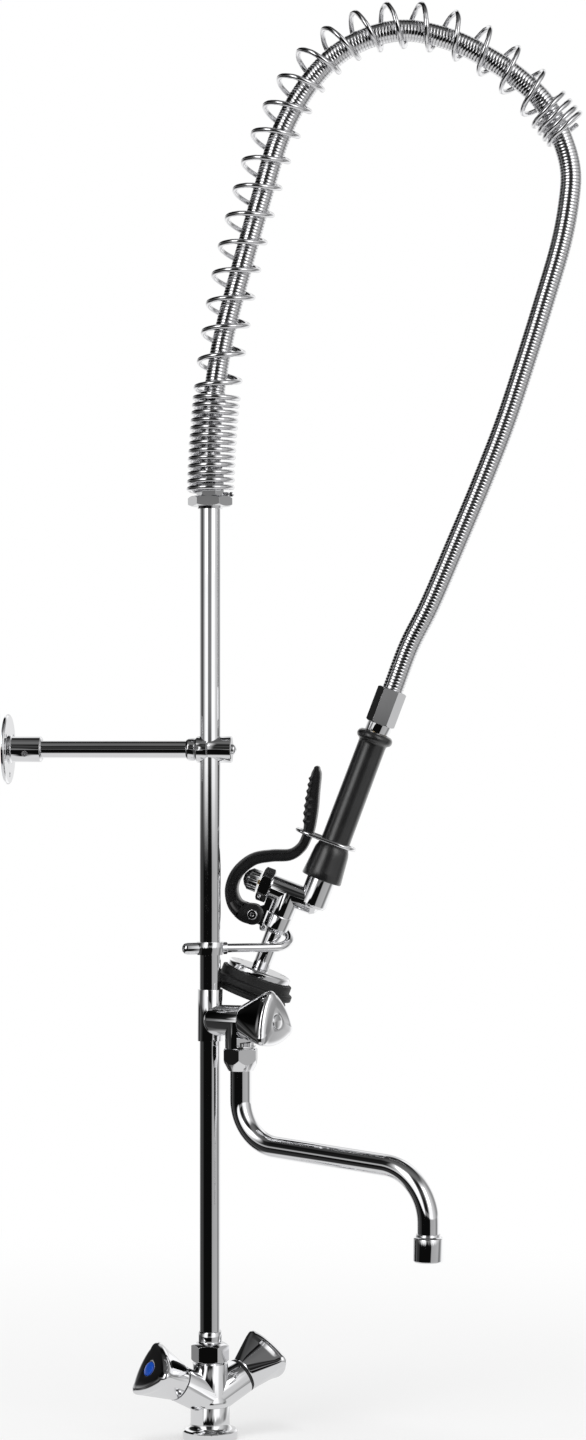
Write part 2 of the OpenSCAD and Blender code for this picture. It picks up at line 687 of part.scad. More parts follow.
module clamp_grub_screw() {
    color(chrome) translate([lock_x, 0.6 - stay_clamp_r, stay_z + 1.5]) rotate([-90, 0, 0]) difference() {
        cylinder(h = 6, r = lock_r);
        translate([0, 0, -1]) cylinder(h = 3, r = 1.3, $fn = 6);
    }
}

// Spring: its centre line is a smooth curve through these points, out from the riser and up from the seat
spring_route = [[0, 2.5], [2, 45], [6.5, 95], [14.3, 150], [25.3, 205], [40.3, 262], [58.3, 314], [83.5, 360],
    [118, 389], [161, 401], [206, 393], [245, 371], [275, 343], [304.5, 308.7]];
arch_turn = 5;
curl_rings = 8;
wire_sides = 6;

// Point at t from 0 to 1 between b and c, on the smooth curve through a, b, c and d
function blend(a, b, c, d, t) = 0.5 * (2 * b + (c - a) * t + (2 * a - 5 * b + 4 * c - d) * t * t
    + (3 * b - a - 3 * c + d) * t * t * t);
function smooth(p, steps) = [for (i = [0:len(p) - 2], j = [0:steps - 1])
    blend(i == 0 ? 2 * p[0] - p[1] : p[i - 1], p[i], p[i + 1],
        i == len(p) - 2 ? 2 * p[i + 1] - p[i] : p[i + 2], j / steps), p[len(p) - 1]];
function sums(v) = [for (i = 0, total = 0; i < len(v); total = total + v[i], i = i + 1) total + v[i]];
function steps_of(p) = concat([0], sums([for (i = [1:len(p) - 1]) norm(p[i] - p[i - 1])]));
function unit(v) = v / norm(v);

arch_line = smooth(spring_route, 8);
arch_steps = steps_of(arch_line);
arch_u = [for (i = [0:len(arch_line) - 1]) [arch_steps[i], arch_line[i].x]];
arch_v = [for (i = [0:len(arch_line) - 1]) [arch_steps[i], arch_line[i].y]];
function arch_at(s) = [lookup(s, arch_u), lookup(s, arch_v)];

// Distance between curls by turn: close above the seat, open up the arch, wider down it, close at the end
close_turns = 13;
open_until = 29;
fall_until = 34.2;
turns = 38.4;
pitch_by_turn = [[0, end_pitch], [1.5, close_pitch], [close_turns, close_pitch], [close_turns + 1, open_pitch],
    [open_until, open_pitch], [open_until + 0.6, fall_pitch], [fall_until, fall_pitch],
    [fall_until + 0.3, 1.6 * end_pitch], [turns - 0.9, end_pitch], [turns, end_pitch]];
spring_rings = floor(turns * curl_rings);
ring_s = concat([0], sums([for (i = [1:spring_rings]) lookup((i - 0.5) / curl_rings, pitch_by_turn)
    / curl_rings]));
coil_r = (spring_d - wire_d) / 2;

// Centre of the wire at ring i, with the arch in the XZ plane
function wire_out(i) = let (s = ring_s[i], d = unit(arch_at(s + 0.5) - arch_at(s - 0.5)), a = 360 * i / curl_rings)
    [d.y * cos(a), sin(a), -d.x * cos(a)];
function wire_centre(i) = let (p = arch_at(ring_s[i])) [p.x, 0, p.y] + coil_r * wire_out(i);
wire_line = [for (i = [0:spring_rings]) wire_centre(i)];
wire_gap = min([for (i = [0:spring_rings - curl_rings + 2], j = [curl_rings - 2:curl_rings + 2])
    if (i + j <= spring_rings) norm(wire_line[i + j] - wire_line[i])]) - wire_d;
echo(least_spring_gap = wire_gap, spring_length_used = ring_s[spring_rings],
    arch_length = arch_steps[len(arch_steps) - 1]);

module arch_spring() {
    n = wire_sides;
    rings = [for (i = [0:spring_rings]) let (last = spring_rings,
        run = unit(wire_line[min(i + 1, last)] - wire_line[max(i - 1, 0)]),
        out = unit(wire_out(i) - run * (wire_out(i) * run)), side = cross(run, out))
        [for (k = [0:n - 1]) wire_line[i] + wire_d / 2 * (out * cos(360 * k / n) + side * sin(360 * k / n))]];
    color(chrome) rotate([0, 0, arch_turn]) translate([0, 0, seat_top]) loft([for (i = [0:spring_rings])
        [for (k = [0:n - 1]) rings[i][n - 1 - k]]]);
}

module spring_seat_nut() {
    color(chrome) translate([0, 0, seat_top - seat_h]) difference() {
        union() {
            hex_nut(seat_corners / 2, seat_h, 2.6);
            translate([0, 0, -2]) cylinder(h = 2.5, r = riser_r + 1.6);
        }
        translate([0, 0, -3]) cylinder(h = seat_h + 4, r = riser_hole_r);
    }
}

// Gun: its valve's axis crosses its grip's axis at gun_at, found from the neck parked behind the hook's rod
neck_side = rod_r + neck_r + 0.35;
neck_at = [hook_reach * cos(hook_turn) - neck_side * sin(hook_turn),
    hook_reach * sin(hook_turn) + neck_side * cos(hook_turn), hook_z];
gun_at = neck_at + [neck_off * cos_t + hook_drop * sin_t, 0, hook_drop * cos_t - neck_off * sin_t];
hose_end = gun_at + (gun_top + 0.05) * [sin_t, 0, cos_t];

module in_gun() {
    translate(gun_at) rotate([0, gun_tilt, 0]) children();
}

// Hose: from the swivel nut, up and over inside the spring, and down to the gun
hose_route = [[0, 0, 26], [0, 0, 46], [3, 0, 84], [11, 1, 133], [24, 2, 184], [43, 4, 252], [61, 5, 310],
    [87, 8, 355], [119, 10, 383], [161, 14, 396], [204, 18, 388], [240, 21, 370], [264, 23, 353],
    [284, 25, 333], [298, 26, 304], [305, 27, 278], [304, 27, 252], [297, 27, 214], [282, 27, 163],
    [266, 27, 112], [249, 27, 61], [229, 27, 10], [207.5, 27, -41], [185.5, 27, -92]];
hose_line = smooth(concat([for (p = hose_route) p + [0, 0, seat_top]], [hose_end + 40 * [sin_t, 0, cos_t],
    hose_end]), 6);
hose_steps = steps_of(hose_line);
hose_length = hose_steps[len(hose_steps) - 1];
hose_x = [for (i = [0:len(hose_line) - 1]) [hose_steps[i], hose_line[i].x]];
hose_y = [for (i = [0:len(hose_line) - 1]) [hose_steps[i], hose_line[i].y]];
hose_z = [for (i = [0:len(hose_line) - 1]) [hose_steps[i], hose_line[i].z]];
function hose_at(s) = [lookup(s, hose_x), lookup(s, hose_y), lookup(s, hose_z)];
function hose_run(s) = s < 2 ? [0, 0, 1] : s > hose_length - 2 ? [sin_t, 0, cos_t] * -1
    : unit(hose_at(s + 2) - hose_at(s - 2));
hose_sides = 8;
bore_rings = 56;
echo(hose_length = hose_length, hose_end = hose_end, gun_at = gun_at);

function hose_ring(s, r) = ring_at(hose_at(s), hose_run(s), r, hose_sides);

module spray_hose() {
    rib = hose_length / hose_ribs;
    color(chrome) pipe(
        concat([for (i = [0:hose_ribs - 1]) each [hose_ring(i * rib, hose_valley_d / 2),
            hose_ring((i + 0.5) * rib, hose_d / 2)]], [hose_ring(hose_length, hose_valley_d / 2)]),
        [for (i = [0:bore_rings]) hose_ring(hose_length * i / bore_rings, hose_bore_d / 2)]);
}

module hose_swivel_nut() {
    color(chrome) translate([0, 0, seat_top + seat_gap]) difference() {
        union() {
            hex_nut(11.6, 19, 1.4);
            translate([0, 0, 18]) cylinder(h = 25.95 - seat_gap - 18, r = hose_d / 2 + 1.2);
        }
        translate([0, 0, -1]) cylinder(h = 17, r = 7.4 + run_gap);
        cylinder(h = 30, r = hose_bore_d / 2);
    }
}

// Sleeve round the hose that keeps the spring off it where the close curls end
module hose_guide_collar() {
    s = 58;
    run = hose_run(s);
    color(chrome) translate(hose_at(s)) rotate([0, acos(run.z), atan2(run.y, run.x)]) translate([0, 0, -4.2])
        difference() {
            rotate_extrude() polygon([[0, 0], [12.2, 0], [12.2, 7.4], [11.2, 8.4], [0, 8.4]]);
            translate([0, 0, -1]) cylinder(h = 11, r = hose_d / 2 + 0.2);
        }
}

// Gun pieces, in the gun's own frame: +Z up the grip, -X towards the lever
grip_foot = 20.5;
grip_top = 154.5;
tube_r = 8.5;

module grip_hose_nut() {
    collar_h = 8;
    h = gun_top - grip_top - 0.2;
    color(chrome) in_gun() translate([0, 0, grip_top + 0.2]) difference() {
        union() {
            cylinder(h = collar_h, r = 10.8);
            translate([0, 0, collar_h - 0.5]) hex_nut(12.8, h - collar_h + 0.5, 1.6);
        }
        translate([0, 0, -1]) cylinder(h = 19, r = tube_r + socket_gap);
        cylinder(h = h + 1, r = hose_bore_d / 2);
    }
}

module grip_tube() {
    color(brass) in_gun() translate([0, 0, 13.2]) difference() {
        cylinder(h = grip_top + 4, r = tube_r);
        translate([0, 0, -1]) cylinder(h = grip_top + 6, r = tube_r - 1.5);
    }
}

module rubber_grip() {
    bead_z = grip_top - 5.3;
    color(black) in_gun() difference() {
        rotate_extrude($fn = 64) polygon(concat(
            [[0, grip_foot], [skirt_r - 0.8, grip_foot], [skirt_r, grip_foot + 0.8], [skirt_r - 2.5, 45.5],
                [grip_r + 0.7, 51.5], [grip_r, bead_z - 8]],
            [for (a = [-75:25:75]) [bead_r - 5.3 + 5.3 * cos(a), bead_z + 5.3 * sin(a)]],
            [[grip_r - 2, grip_top], [0, grip_top]]));
        translate([0, 0, grip_foot - 1]) cylinder(h = grip_top, r = tube_r + socket_gap);
        translate([0, 0, grip_foot - 1]) cylinder(h = 16.5, r = inlet_tube_r + socket_gap);
    }
}

// Valve body: elbow inlet, barrel with the valve bore, outlet boss and the lever's lug
valve_z = -1;
pivot = [-44.1, -28.4];
outlet_joint = -21;
barrel_end = -38;

module valve_body() {
    color(chrome) in_gun() difference() {
        union() {
            rotate_extrude() polygon([[0, 35.5], [inlet_tube_r, 35.5], [inlet_tube_r, -2.2],
                [inlet_tube_r - 1.7, -4.6], [0, -4.6]]);
            translate([7, 0, valve_z]) rotate([0, -90, 0]) rotate_extrude() polygon([[0, 0], [barrel_r - 6.4, 0],
                [barrel_r - 2.2, 2.4], [barrel_r, 6.4], [barrel_r, 7 - barrel_end], [0, 7 - barrel_end]]);
            translate([-neck_off, 0, outlet_joint]) cylinder(h = valve_z - outlet_joint, r = 10.8);
            translate([0, 3.5, 0]) rotate([90, 0, 0]) linear_extrude(height = 7) polygon([[pivot.x, pivot.y - 6.4],
                [-neck_off - 11.6, pivot.y - 6.4], [-neck_off - 11.6, outlet_joint + 0.1],
                [-neck_off - 4, outlet_joint + 0.1], [-neck_off - 4, -9], [barrel_end + 0.1, -9],
                [barrel_end + 0.1, -17.5], [pivot.x, pivot.y + 6.4]]);
            translate([pivot.x, 3.5, pivot.y]) rotate([90, 0, 0]) cylinder(h = 7, r = 6.5);
        }
        translate([0, 0, 13]) cylinder(h = 30, r = tube_r + socket_gap);
        cylinder(h = 30, r = 6);
        translate([4, 0, valve_z]) rotate([0, -90, 0]) cylinder(h = 30, r = 5);
        translate([-neck_off - 2, 0, valve_z]) rotate([0, -90, 0]) cylinder(h = 30, r = 7.6);
        translate([-neck_off, 0, outlet_joint - 1]) cylinder(h = 20, r = 5);
        translate([pivot.x, 10, pivot.y]) rotate([90, 0, 0]) cylinder(h = 20, r = 2.5 + run_gap);
    }
}

module bonnet_nut() {
    h = 9.4;
    color(chrome) in_gun() translate([barrel_end - 0.1, 0, valve_z]) rotate([0, -90, 0]) difference() {
        hex_nut(15, h, 1.8);
        translate([0, 0, -1]) cylinder(h = h + 2, r = 5.2);
    }
}

module spray_neck() {
    bottom = -plate_drop;
    color(chrome) in_gun() translate([-neck_off, 0, 0]) difference() {
        rotate_extrude() polygon([[0, bottom], [neck_r, bottom], [neck_r, -37], [8.6, -35], [10.8, -33],
            [10.8, outlet_joint - 1.2], [10.2, outlet_joint - 0.1], [0, outlet_joint - 0.1]]);
        translate([0, 0, bottom - 1]) cylinder(h = plate_drop, r = 5);
    }
}

plate_t = 6;
face_top = -plate_drop - plate_t;
// The plate's screws are sunk, on a ring of this radius
screw_ring = 22.5;
head_h = 2;
head_r = 2.8;

module spray_plate() {
    color(chrome) in_gun() translate([-neck_off, 0, face_top]) difference() {
        rotate_extrude($fn = 96) polygon([[0, 0], [plate_r, 0], [plate_r, plate_t - 1.6], [plate_r - 1.6, plate_t - 0.1],
            [0, plate_t - 0.1]]);
        translate([0, 0, -1]) cylinder(h = plate_t + 2, r = 5);
        translate([0, 0, -1]) cylinder(h = 3, r = 19);
        for (a = [30:120:270]) rotate([0, 0, a]) translate([screw_ring, 0, -1]) {
            cylinder(h = plate_t + 2, r = 1.6);
            translate([0, 0, plate_t + 1 - head_h]) cylinder(h = head_h + 1, r = head_r + 0.2);
        }
    }
}

module plate_screws() {
    color(chrome) in_gun() translate([-neck_off, 0, face_top]) for (a = [30:120:270]) rotate([0, 0, a])
        translate([screw_ring, 0, 0]) difference() {
            union() {
                translate([0, 0, -3]) cylinder(h = plate_t - head_h + 3.1, r = 1.5);
                translate([0, 0, plate_t - head_h]) cylinder(h = head_h - 0.2, r = head_r);
            }
            translate([-3, -0.4, plate_t - head_h + 0.8]) cube([6, 0.8, 2]);
        }
}

module spray_face() {
    color(chrome) in_gun() translate([-neck_off, 0, face_top - 3.1]) difference() {
        cylinder(h = 3, r = 24.8);
        for (a = [0:360 / spray_holes:359]) rotate([0, 0, a]) translate([14, 0, -1])
            cylinder(h = 5, r = 0.8, $fn = 16);
        for (a = [0:60:300]) rotate([0, 0, a]) translate([7, 0, -1]) cylinder(h = 5, r = 0.8, $fn = 16);
        for (a = [30:120:270]) rotate([0, 0, a]) translate([screw_ring, 0, -1]) cylinder(h = 6, r = 1.55);
    }
}

module rubber_bumper() {
    color(black) in_gun() translate([-neck_off, 0, face_top - 0.1]) difference() {
        rotate_extrude($fn = 96) polygon([[0, 0], [31, 0], [31, -6.4], [bumper_r, -7.6], [bumper_r, -12.6],
            [bumper_foot_r - 1, -14], [bumper_foot_r - 1, -15.4], [bumper_foot_r, -16.2], [bumper_foot_r, -19],
            [bumper_foot_r - 0.8, -19.6], [0, -19.6]]);
        translate([0, 0, -30]) cylinder(h = 40, r = 21);
        translate([0, 0, -3.1]) cylinder(h = 4, r = 25);
    }
}

// Lever: a band of changing width along these points, each [across, up, half width]
lever_route = [[-36.7, 107.7, 2.4], [-35.5, 103, 4.2], [-32.7, 90, 5], [-28.8, 74, 5.6], [-24.9, 58, 4.8],
    [-24.3, 49, 4.2], [-25.8, 39.5, 4.4], [-32.5, 30.5, 5], [-47, 24, 5.2], [-60.5, 15.5, 5.4],
    [-68.9, 1, 5.2], [-69.2, -14, 5.4], [-62, -25.2, 6.5], [-52, -29, 8.2], [pivot.x, pivot.y, 9]];
lever_line = smooth(lever_route, 3);

function lever_edge(side) = [for (i = [0:len(lever_line) - 1]) let (p = lever_line[i],
    a = lever_line[max(i - 1, 0)], b = lever_line[min(i + 1, len(lever_line) - 1)],
    run = unit([b.x - a.x, b.y - a.y])) [p.x - side * run.y * p.z, p.y + side * run.x * p.z]];
lever_teeth = 7;

module spray_lever() {
    right = lever_edge(1);
    left = lever_edge(-1);
    color(black) in_gun() difference() {
        translate([0, lever_w / 2, 0]) rotate([90, 0, 0]) linear_extrude(height = lever_w) union() {
            polygon(concat(left, [for (i = [len(right) - 1:-1:0]) right[i]]));
            translate([lever_route[0].x, lever_route[0].y]) circle(r = lever_route[0].z, $fn = 24);
            translate(pivot) circle(r = 9, $fn = 48);
            for (i = [1:lever_teeth]) let (t = i / (lever_teeth + 1), k = 3 + 9 * t)
                translate((left[floor(k)] * (1 - k + floor(k)) + left[ceil(k)] * (k - floor(k))))
                    circle(r = 1.3, $fn = 16);
        }
        translate([pivot.x - 11, -3.5 - run_gap, pivot.y - 12]) cube([30, 7 + 2 * run_gap, 23]);
        translate([pivot.x, 20, pivot.y]) rotate([90, 0, 0]) cylinder(h = 40, r = 2.5 + run_gap);
    }
}

module lever_bolt() {
    color(chrome) in_gun() translate([pivot.x, 0, pivot.y]) rotate([90, 0, 0]) difference() {
        union() {
            translate([0, 0, -lever_w / 2 - 3]) cylinder(h = lever_w + 3.5, r = 2.5);
            translate([0, 0, lever_w / 2 + seat_gap]) rotate_extrude() polygon([[0, 0], [4.6, 0], [4.6, 1.8],
                [3.8, 2.8], [0, 2.8]]);
            translate([0, 0, -lever_w / 2 - 3.2 - seat_gap]) cylinder(h = 3.2, r = 4.6, $fn = 6);
        }
        translate([0, 0, lever_w / 2 + 1.6]) cylinder(h = 3, r = 1.6, $fn = 6);
    }
}

// Push button that the lever bears on, its stem, and the spring that brings both back
button_face = -62.6;
button_back = -49.5;
button_len = button_back - button_face;

module push_button() {
    color(chrome) in_gun() translate([button_back, 0, valve_z]) rotate([0, -90, 0]) {
        difference() {
            rotate_extrude() polygon([[0, 0], [button_r, 0], [button_r, button_len - 5.5],
                [button_r - 3, button_len - 2.1], [button_r - 6.8, button_len], [0, button_len]]);
            translate([0, 0, -1]) cylinder(h = 6, r = 2.05);
            for (a = [0:30:330]) rotate([0, 0, a]) translate([button_r + 0.9, 0, -1]) cylinder(h = 20, r = 1.7);
        }
    }
}

module valve_stem() {
    stem_end = -neck_off - 9;
    color(brass) in_gun() translate([stem_end, 0, valve_z]) rotate([0, -90, 0]) {
        cylinder(h = stem_end - button_back + 4.5, r = 2);
        cylinder(h = 2.5, r = 7.4);
    }
}

// Drawn at its pressed length, seated on the step of the valve's bore
module return_spring() {
    color(chrome) in_gun() translate([-neck_off - 2.1, 0, valve_z]) rotate([0, -90, 0]) difference() {
        cylinder(h = 4.8, r = 7);
        translate([0, 0, -1]) cylinder(h = 8, r = 5.6);
    }
}

// Oval wire ring that holds the lever against the grip
module hold_ring() {
    ring_r = grip_r + 2.5;
    half_run = 11.3;
    tilt = -0.8;
    color(chrome) in_gun() translate([-8.6, 0, 53.5]) rotate([0, tilt, 0]) {
        for (side = [0, 180]) rotate([0, 0, side]) {
            translate([half_run, 0, 0]) rotate([0, 0, -90]) rotate_extrude(angle = 180)
                translate([ring_r, 0]) circle(r = ring_wire_d / 2, $fn = 24);
            translate([-half_run, ring_r, 0]) rotate([0, 90, 0]) cylinder(h = 2 * half_run, r = ring_wire_d / 2,
                $fn = 24);
        }
    }
}

// Hook: an eye round the riser, a rod, and a bend that leans up and comes back behind the parked neck
hook_h = 10.6;
bend_start = hook_reach + 2.7;

module round_bar(r, h, tip) {
    rotate_extrude() polygon(concat([[0, 0], [r, 0]], [for (a = [0:22.5:90]) [r - tip + tip * cos(a),
        h - tip + tip * sin(a)]], [[0, h]]));
}

module hook() {
    eye_r = riser_r + 2.6;
    tip = 7;
    color(chrome) rotate([0, 0, hook_turn]) translate([0, 0, hook_z]) difference() {
        union() {
            translate([0, 0, -hook_h / 2]) cylinder(h = hook_h, r = eye_r);
            rotate([0, -90, 0]) round_bar(hook_h / 2 - 0.1, 24, 4);
            rotate([0, 90, 0]) round_bar(hook_h / 2 - 0.1, 14.8, 0.8);
            rotate([hook_lean, 0, 0]) {
                rotate([0, 90, 0]) cylinder(h = bend_start, r = rod_r);
                translate([bend_start, hook_bend_r, 0]) rotate([0, 0, -90]) {
                    rotate_extrude(angle = 180, $fn = 64) translate([hook_bend_r, 0]) circle(r = rod_r);
                    translate([-hook_bend_r, 0, 0]) rotate([90, 0, 0]) round_bar(rod_r, tip, 2.6);
                }
            }
        }
        translate([0, 0, -hook_h]) cylinder(h = 2 * hook_h, r = riser_r + run_gap);
        rotate([0, -90, 0]) cylinder(h = 40, r = 2.5);
    }
}

module hook_grub_screw() {
    color(chrome) rotate([0, 0, hook_turn]) translate([-riser_r - run_gap - 0.2, 0, hook_z]) rotate([0, -90, 0])
        difference() {
            cylinder(h = 13, r = 2.45);
            translate([0, 0, 10.5]) cylinder(h = 4, r = 1.4, $fn = 6);
        }
}

base_body();
base_gasket();
column_nut();
column_collar();
lower_riser();
riser_seals();
tap_cartridges();
tap_seal_rings();
handle(taps[0]);  // cold_handle
index_button(taps[0], [0.05, 0.2, 0.75]);  // cold_index
handle_screw(taps[0]);  // cold_handle_screw
spindle(taps[0]);  // cold_spindle
handle(taps[1]);  // hot_handle
index_button(taps[1], [0.75, 0.08, 0.06]);  // hot_index
handle_screw(taps[1]);  // hot_handle_screw
spindle(taps[1]);  // hot_spindle
handle(taps[2]);  // mid_handle
index_button(taps[2], chrome);  // mid_index
handle_screw(taps[2]);  // mid_handle_screw
spindle(taps[2]);  // mid_spindle
tee_body();
upper_riser();
spout_nut();
spout_tube();
spout_seals();
aerator_housing();
aerator_insert();
wall_flange();
wall_socket();
socket_grub_screw();
stay_arm();
stay_ferrule();
clamp_body();
clamp_cap();
clamp_bolt();
clamp_grub_screw();
spring_seat_nut();
arch_spring();
hose_swivel_nut();
hose_guide_collar();
spray_hose();
grip_hose_nut();
grip_tube();
rubber_grip();
valve_body();
bonnet_nut();
spray_neck();
spray_plate();
plate_screws();
spray_face();
rubber_bumper();
spray_lever();
lever_bolt();
push_button();
valve_stem();
return_spring();
hold_ring();
hook();
hook_grub_screw();
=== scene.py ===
import math

import bmesh
import bpy
from mathutils import Matrix, Vector


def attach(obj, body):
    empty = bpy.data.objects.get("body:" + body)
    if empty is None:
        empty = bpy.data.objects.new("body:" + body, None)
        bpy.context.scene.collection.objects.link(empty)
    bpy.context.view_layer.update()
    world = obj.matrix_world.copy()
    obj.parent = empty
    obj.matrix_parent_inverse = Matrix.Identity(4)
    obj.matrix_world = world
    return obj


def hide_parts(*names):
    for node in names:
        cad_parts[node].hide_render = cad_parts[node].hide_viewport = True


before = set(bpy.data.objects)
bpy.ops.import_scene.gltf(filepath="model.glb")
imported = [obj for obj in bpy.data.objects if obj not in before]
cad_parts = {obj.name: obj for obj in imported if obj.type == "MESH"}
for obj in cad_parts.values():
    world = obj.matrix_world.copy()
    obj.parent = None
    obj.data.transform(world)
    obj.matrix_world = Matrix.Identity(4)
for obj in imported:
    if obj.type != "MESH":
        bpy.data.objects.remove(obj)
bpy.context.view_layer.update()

bl_info = {
    "name": "Pre-rinse faucet dressing",
    "version": (1, 0, 0),
    "blender": (4, 5, 0),
    "location": "View3D > Sidebar > Faucet",
    "description": "Finishes, sprung arch, hose, handles, spray gun and stage for a commercial kitchen faucet",
    "category": "Object",
}

MM = 0.001
# Top of the spring's seat nut in metres, which the arch and the hose are measured from
SEAT_TOP = 0.8
# Distance of the gun's neck from its grip's axis, and height of the hose's end on that axis, in millimetres
NECK_OFF = 22
HOSE_END = 193.55


# Plain maths shared by the pieces

def unit(v):
    return v.normalized()


def blended(a, b, c, d, t):
    """Point at t from 0 to 1 between b and c on the smooth curve through a, b, c and d."""
    return 0.5 * (2 * b + (c - a) * t + (2 * a - 5 * b + 4 * c - d) * t * t
                  + (3 * b - a - 3 * c + d) * t ** 3)


def smooth_path(points, steps):
    """Every point of a smooth curve through the given ones, steps of them for each stretch."""
    p = [Vector(q) for q in points]
    out = []
    for i in range(len(p) - 1):
        before = p[i - 1] if i else 2 * p[0] - p[1]
        after = p[i + 2] if i + 2 < len(p) else 2 * p[i + 1] - p[i]
        out += [blended(before, p[i], p[i + 1], after, j / steps) for j in range(steps)]
    return out + [p[-1]]


def distances(points):
    """Distance along a path at each of its points."""
    out = [0.0]
    for a, b in zip(points, points[1:]):
        out.append(out[-1] + (b - a).length)
    return out


def looked_up(x, xs, ys):
    """Value of ys at x, straight between the entries and level beyond them."""
    if x <= xs[0]:
        return ys[0]
    for i in range(1, len(xs)):
        if x <= xs[i]:
            t = (x - xs[i - 1]) / max(xs[i] - xs[i - 1], 1e-12)
            return ys[i - 1] * (1 - t) + ys[i] * t
    return ys[-1]


def gun_frame():
    """Matrix to the CAD frame from the gun's own, in millimetres, with +Z up the grip and -X towards the lever."""
    tilt, hook_turn = math.radians(20.7), math.radians(19)
    hook_rod_r, neck_r, gap, hook_reach, hook_drop, hook_height = 3.8, 7.3, 0.35, 53.8, 49.7, 416
    hook = Matrix.Rotation(hook_turn, 3, "Z") @ Vector((hook_reach, hook_rod_r + neck_r + gap, hook_height))
    c, s = math.cos(tilt), math.sin(tilt)
    origin = hook + Vector((NECK_OFF * c + hook_drop * s, 0, hook_drop * c - NECK_OFF * s))
    return Matrix.Translation(origin * MM) @ Matrix.Rotation(tilt, 4, "Y") @ Matrix.Scale(MM, 4)


GUN = gun_frame()


# Node trees and materials

class Tree:
    """A node tree that every node comes into by the same method."""

    def __init__(self, tree):
        self.nodes, self.links = tree.nodes, tree.links
        self.nodes.clear()

    def add(self, kind, options=(), inputs=(), output=0):
        """Adds a node, first its own settings and then a value or a wire for each input, and gives an output."""
        node = self.nodes.new(kind)
        for name, value in dict(options).items():
            if name == "stops":
                marks = node.color_ramp.elements
                for mark, (place, colour) in ((marks[0], value[0]), (marks[1], value[-1])):
                    mark.position = place
                    mark.color = (*colour, 1)
                for place, colour in value[1:-1]:
                    marks.new(place).color = (*colour, 1)
            else:
                setattr(node, name, value)
        for name, value in dict(inputs).items():
            if isinstance(value, Wire):
                self.links.new(value.socket, node.inputs[name])
            else:
                node.inputs[name].default_value = value
        return Wire(self, node.outputs[output]) if node.outputs else None

    def noise(self, scale, detail, rough=0.55, stretch=None):
        """Noise through the object, with a scale per metre that stretch may change along each axis."""
        place = self.add("ShaderNodeTexCoord", output="Object")
        if stretch:
            place = self.add("ShaderNodeMapping", inputs={"Vector": place, "Scale": stretch})
        return self.add("ShaderNodeTexNoise", inputs={"Vector": place, "Scale": scale, "Detail": detail,
                                                      "Roughness": rough})

    def bump(self, height, strength, distance):
        """The surface's normal with that relief on it."""
        return self.add("ShaderNodeBump", inputs={"Height": height, "Strength": strength, "Distance": distance})


class Wire:
    """A socket of a node tree that plain operators can work on."""

    def __init__(self, tree, socket):
        self.tree = tree
        self.socket = socket

    def output(self, name):
        """Another output of the same node."""
        return Wire(self.tree, self.socket.node.outputs[name])

    def maths(self, operation, *others):
        """Any operation of the maths node, with this socket first."""
        return self.tree.add("ShaderNodeMath", {"operation": operation}, enumerate((self, *others)))

    def __add__(self, other):
        return self.maths("ADD", other)

    def __sub__(self, other):
        return self.maths("SUBTRACT", other)

    def __rsub__(self, other):
        return self * -1.0 + other

    def __mul__(self, other):
        return self.maths("MULTIPLY", other)

    __radd__ = __add__
    __rmul__ = __mul__

    def mapped(self, low, high, new_low, new_high, kind="LINEAR"):
        """Goes from new_low to new_high while this goes from low to high, and stays there beyond."""
        return self.tree.add("ShaderNodeMapRange", {"interpolation_type": kind, "clamp": True},
                             {"Value": self, "From Min": low, "From Max": high, "To Min": new_low,
                              "To Max": new_high})

    def step(self, low, high):
        """0 below low, 1 above high, and a smooth rise between them."""
        return self.mapped(low, high, 0.0, 1.0, "SMOOTHSTEP")

    def between(self, first, second):
        """first where this is 0 and second where it is 1."""
        return first + (second - first) * self

    def ramp(self, *stops):
        """The colour of this value between stops of (place, colour)."""
        return self.tree.add("ShaderNodeValToRGB", {"stops": stops}, {0: self})


# Each maker takes an empty tree and the finish's tint, and gives the inputs of its Principled shader

def tinted(colour, low, high):
    """Two shades of a colour for a ramp."""
    return ((0.3, [c * low for c in colour]), (0.7, [min(1.0, c * high) for c in colour]))


def polished_chrome(tree, colour):
    """Mirror plating with faint smears and a trace of wiping marks."""
    smears = tree.noise(70, 5, 0.6)
    wiped = tree.noise(900, 2, 0.5, (1.0, 1.0, 0.12))
    return {"Metallic": 1.0,
            "Base Color": tree.noise(38, 3).ramp(*tinted(colour, 0.975, 1.01)),
            "Roughness": (smears * 0.7 + wiped * 0.3).mapped(0.38, 0.7, 0.018, 0.055)}


def bright_steel(tree, colour, rough, scale):
    """Drawn or turned steel, a little uneven in tint and polish."""
    return {"Metallic": 1.0,
            "Base Color": tree.noise(160, 4).ramp(*tinted(colour, 0.9, 1.03)),
            "Roughness": tree.noise(scale, 5, 0.6).mapped(0.3, 0.8, rough * 0.7, rough * 1.5)}


def hose_steel(tree, colour):
    """Steel hose, with painted shade that darkens it down in its grooves."""
    crest = tree.add("ShaderNodeAttribute", {"attribute_name": "rib_height"}, output="Fac")
    return {"Metallic": 1.0,
            # painted shade: the base colour drops to 0.4 of the tint where rib_height is low, down in the grooves
            "Base Color": crest.ramp((0.05, [c * 0.4 for c in colour]), (0.5, colour)),
            "Roughness": tree.noise(500, 4).mapped(0.3, 0.8, 0.09, 0.2),
            "Normal": tree.bump(tree.noise(900, 3), 0.12, 0.0001)}


def machined_brass(tree, colour):
    """Bare brass with turning marks."""
    turned = tree.noise(400, 2, 0.5, (0.2, 0.2, 4.0))
    return {"Metallic": 1.0,
            "Base Color": tree.noise(120, 4).ramp(*tinted(colour, 0.85, 1.05)),
            "Roughness": turned.mapped(0.3, 0.8, 0.18, 0.34),
            "Normal": tree.bump(turned, 0.2, 0.0002)}


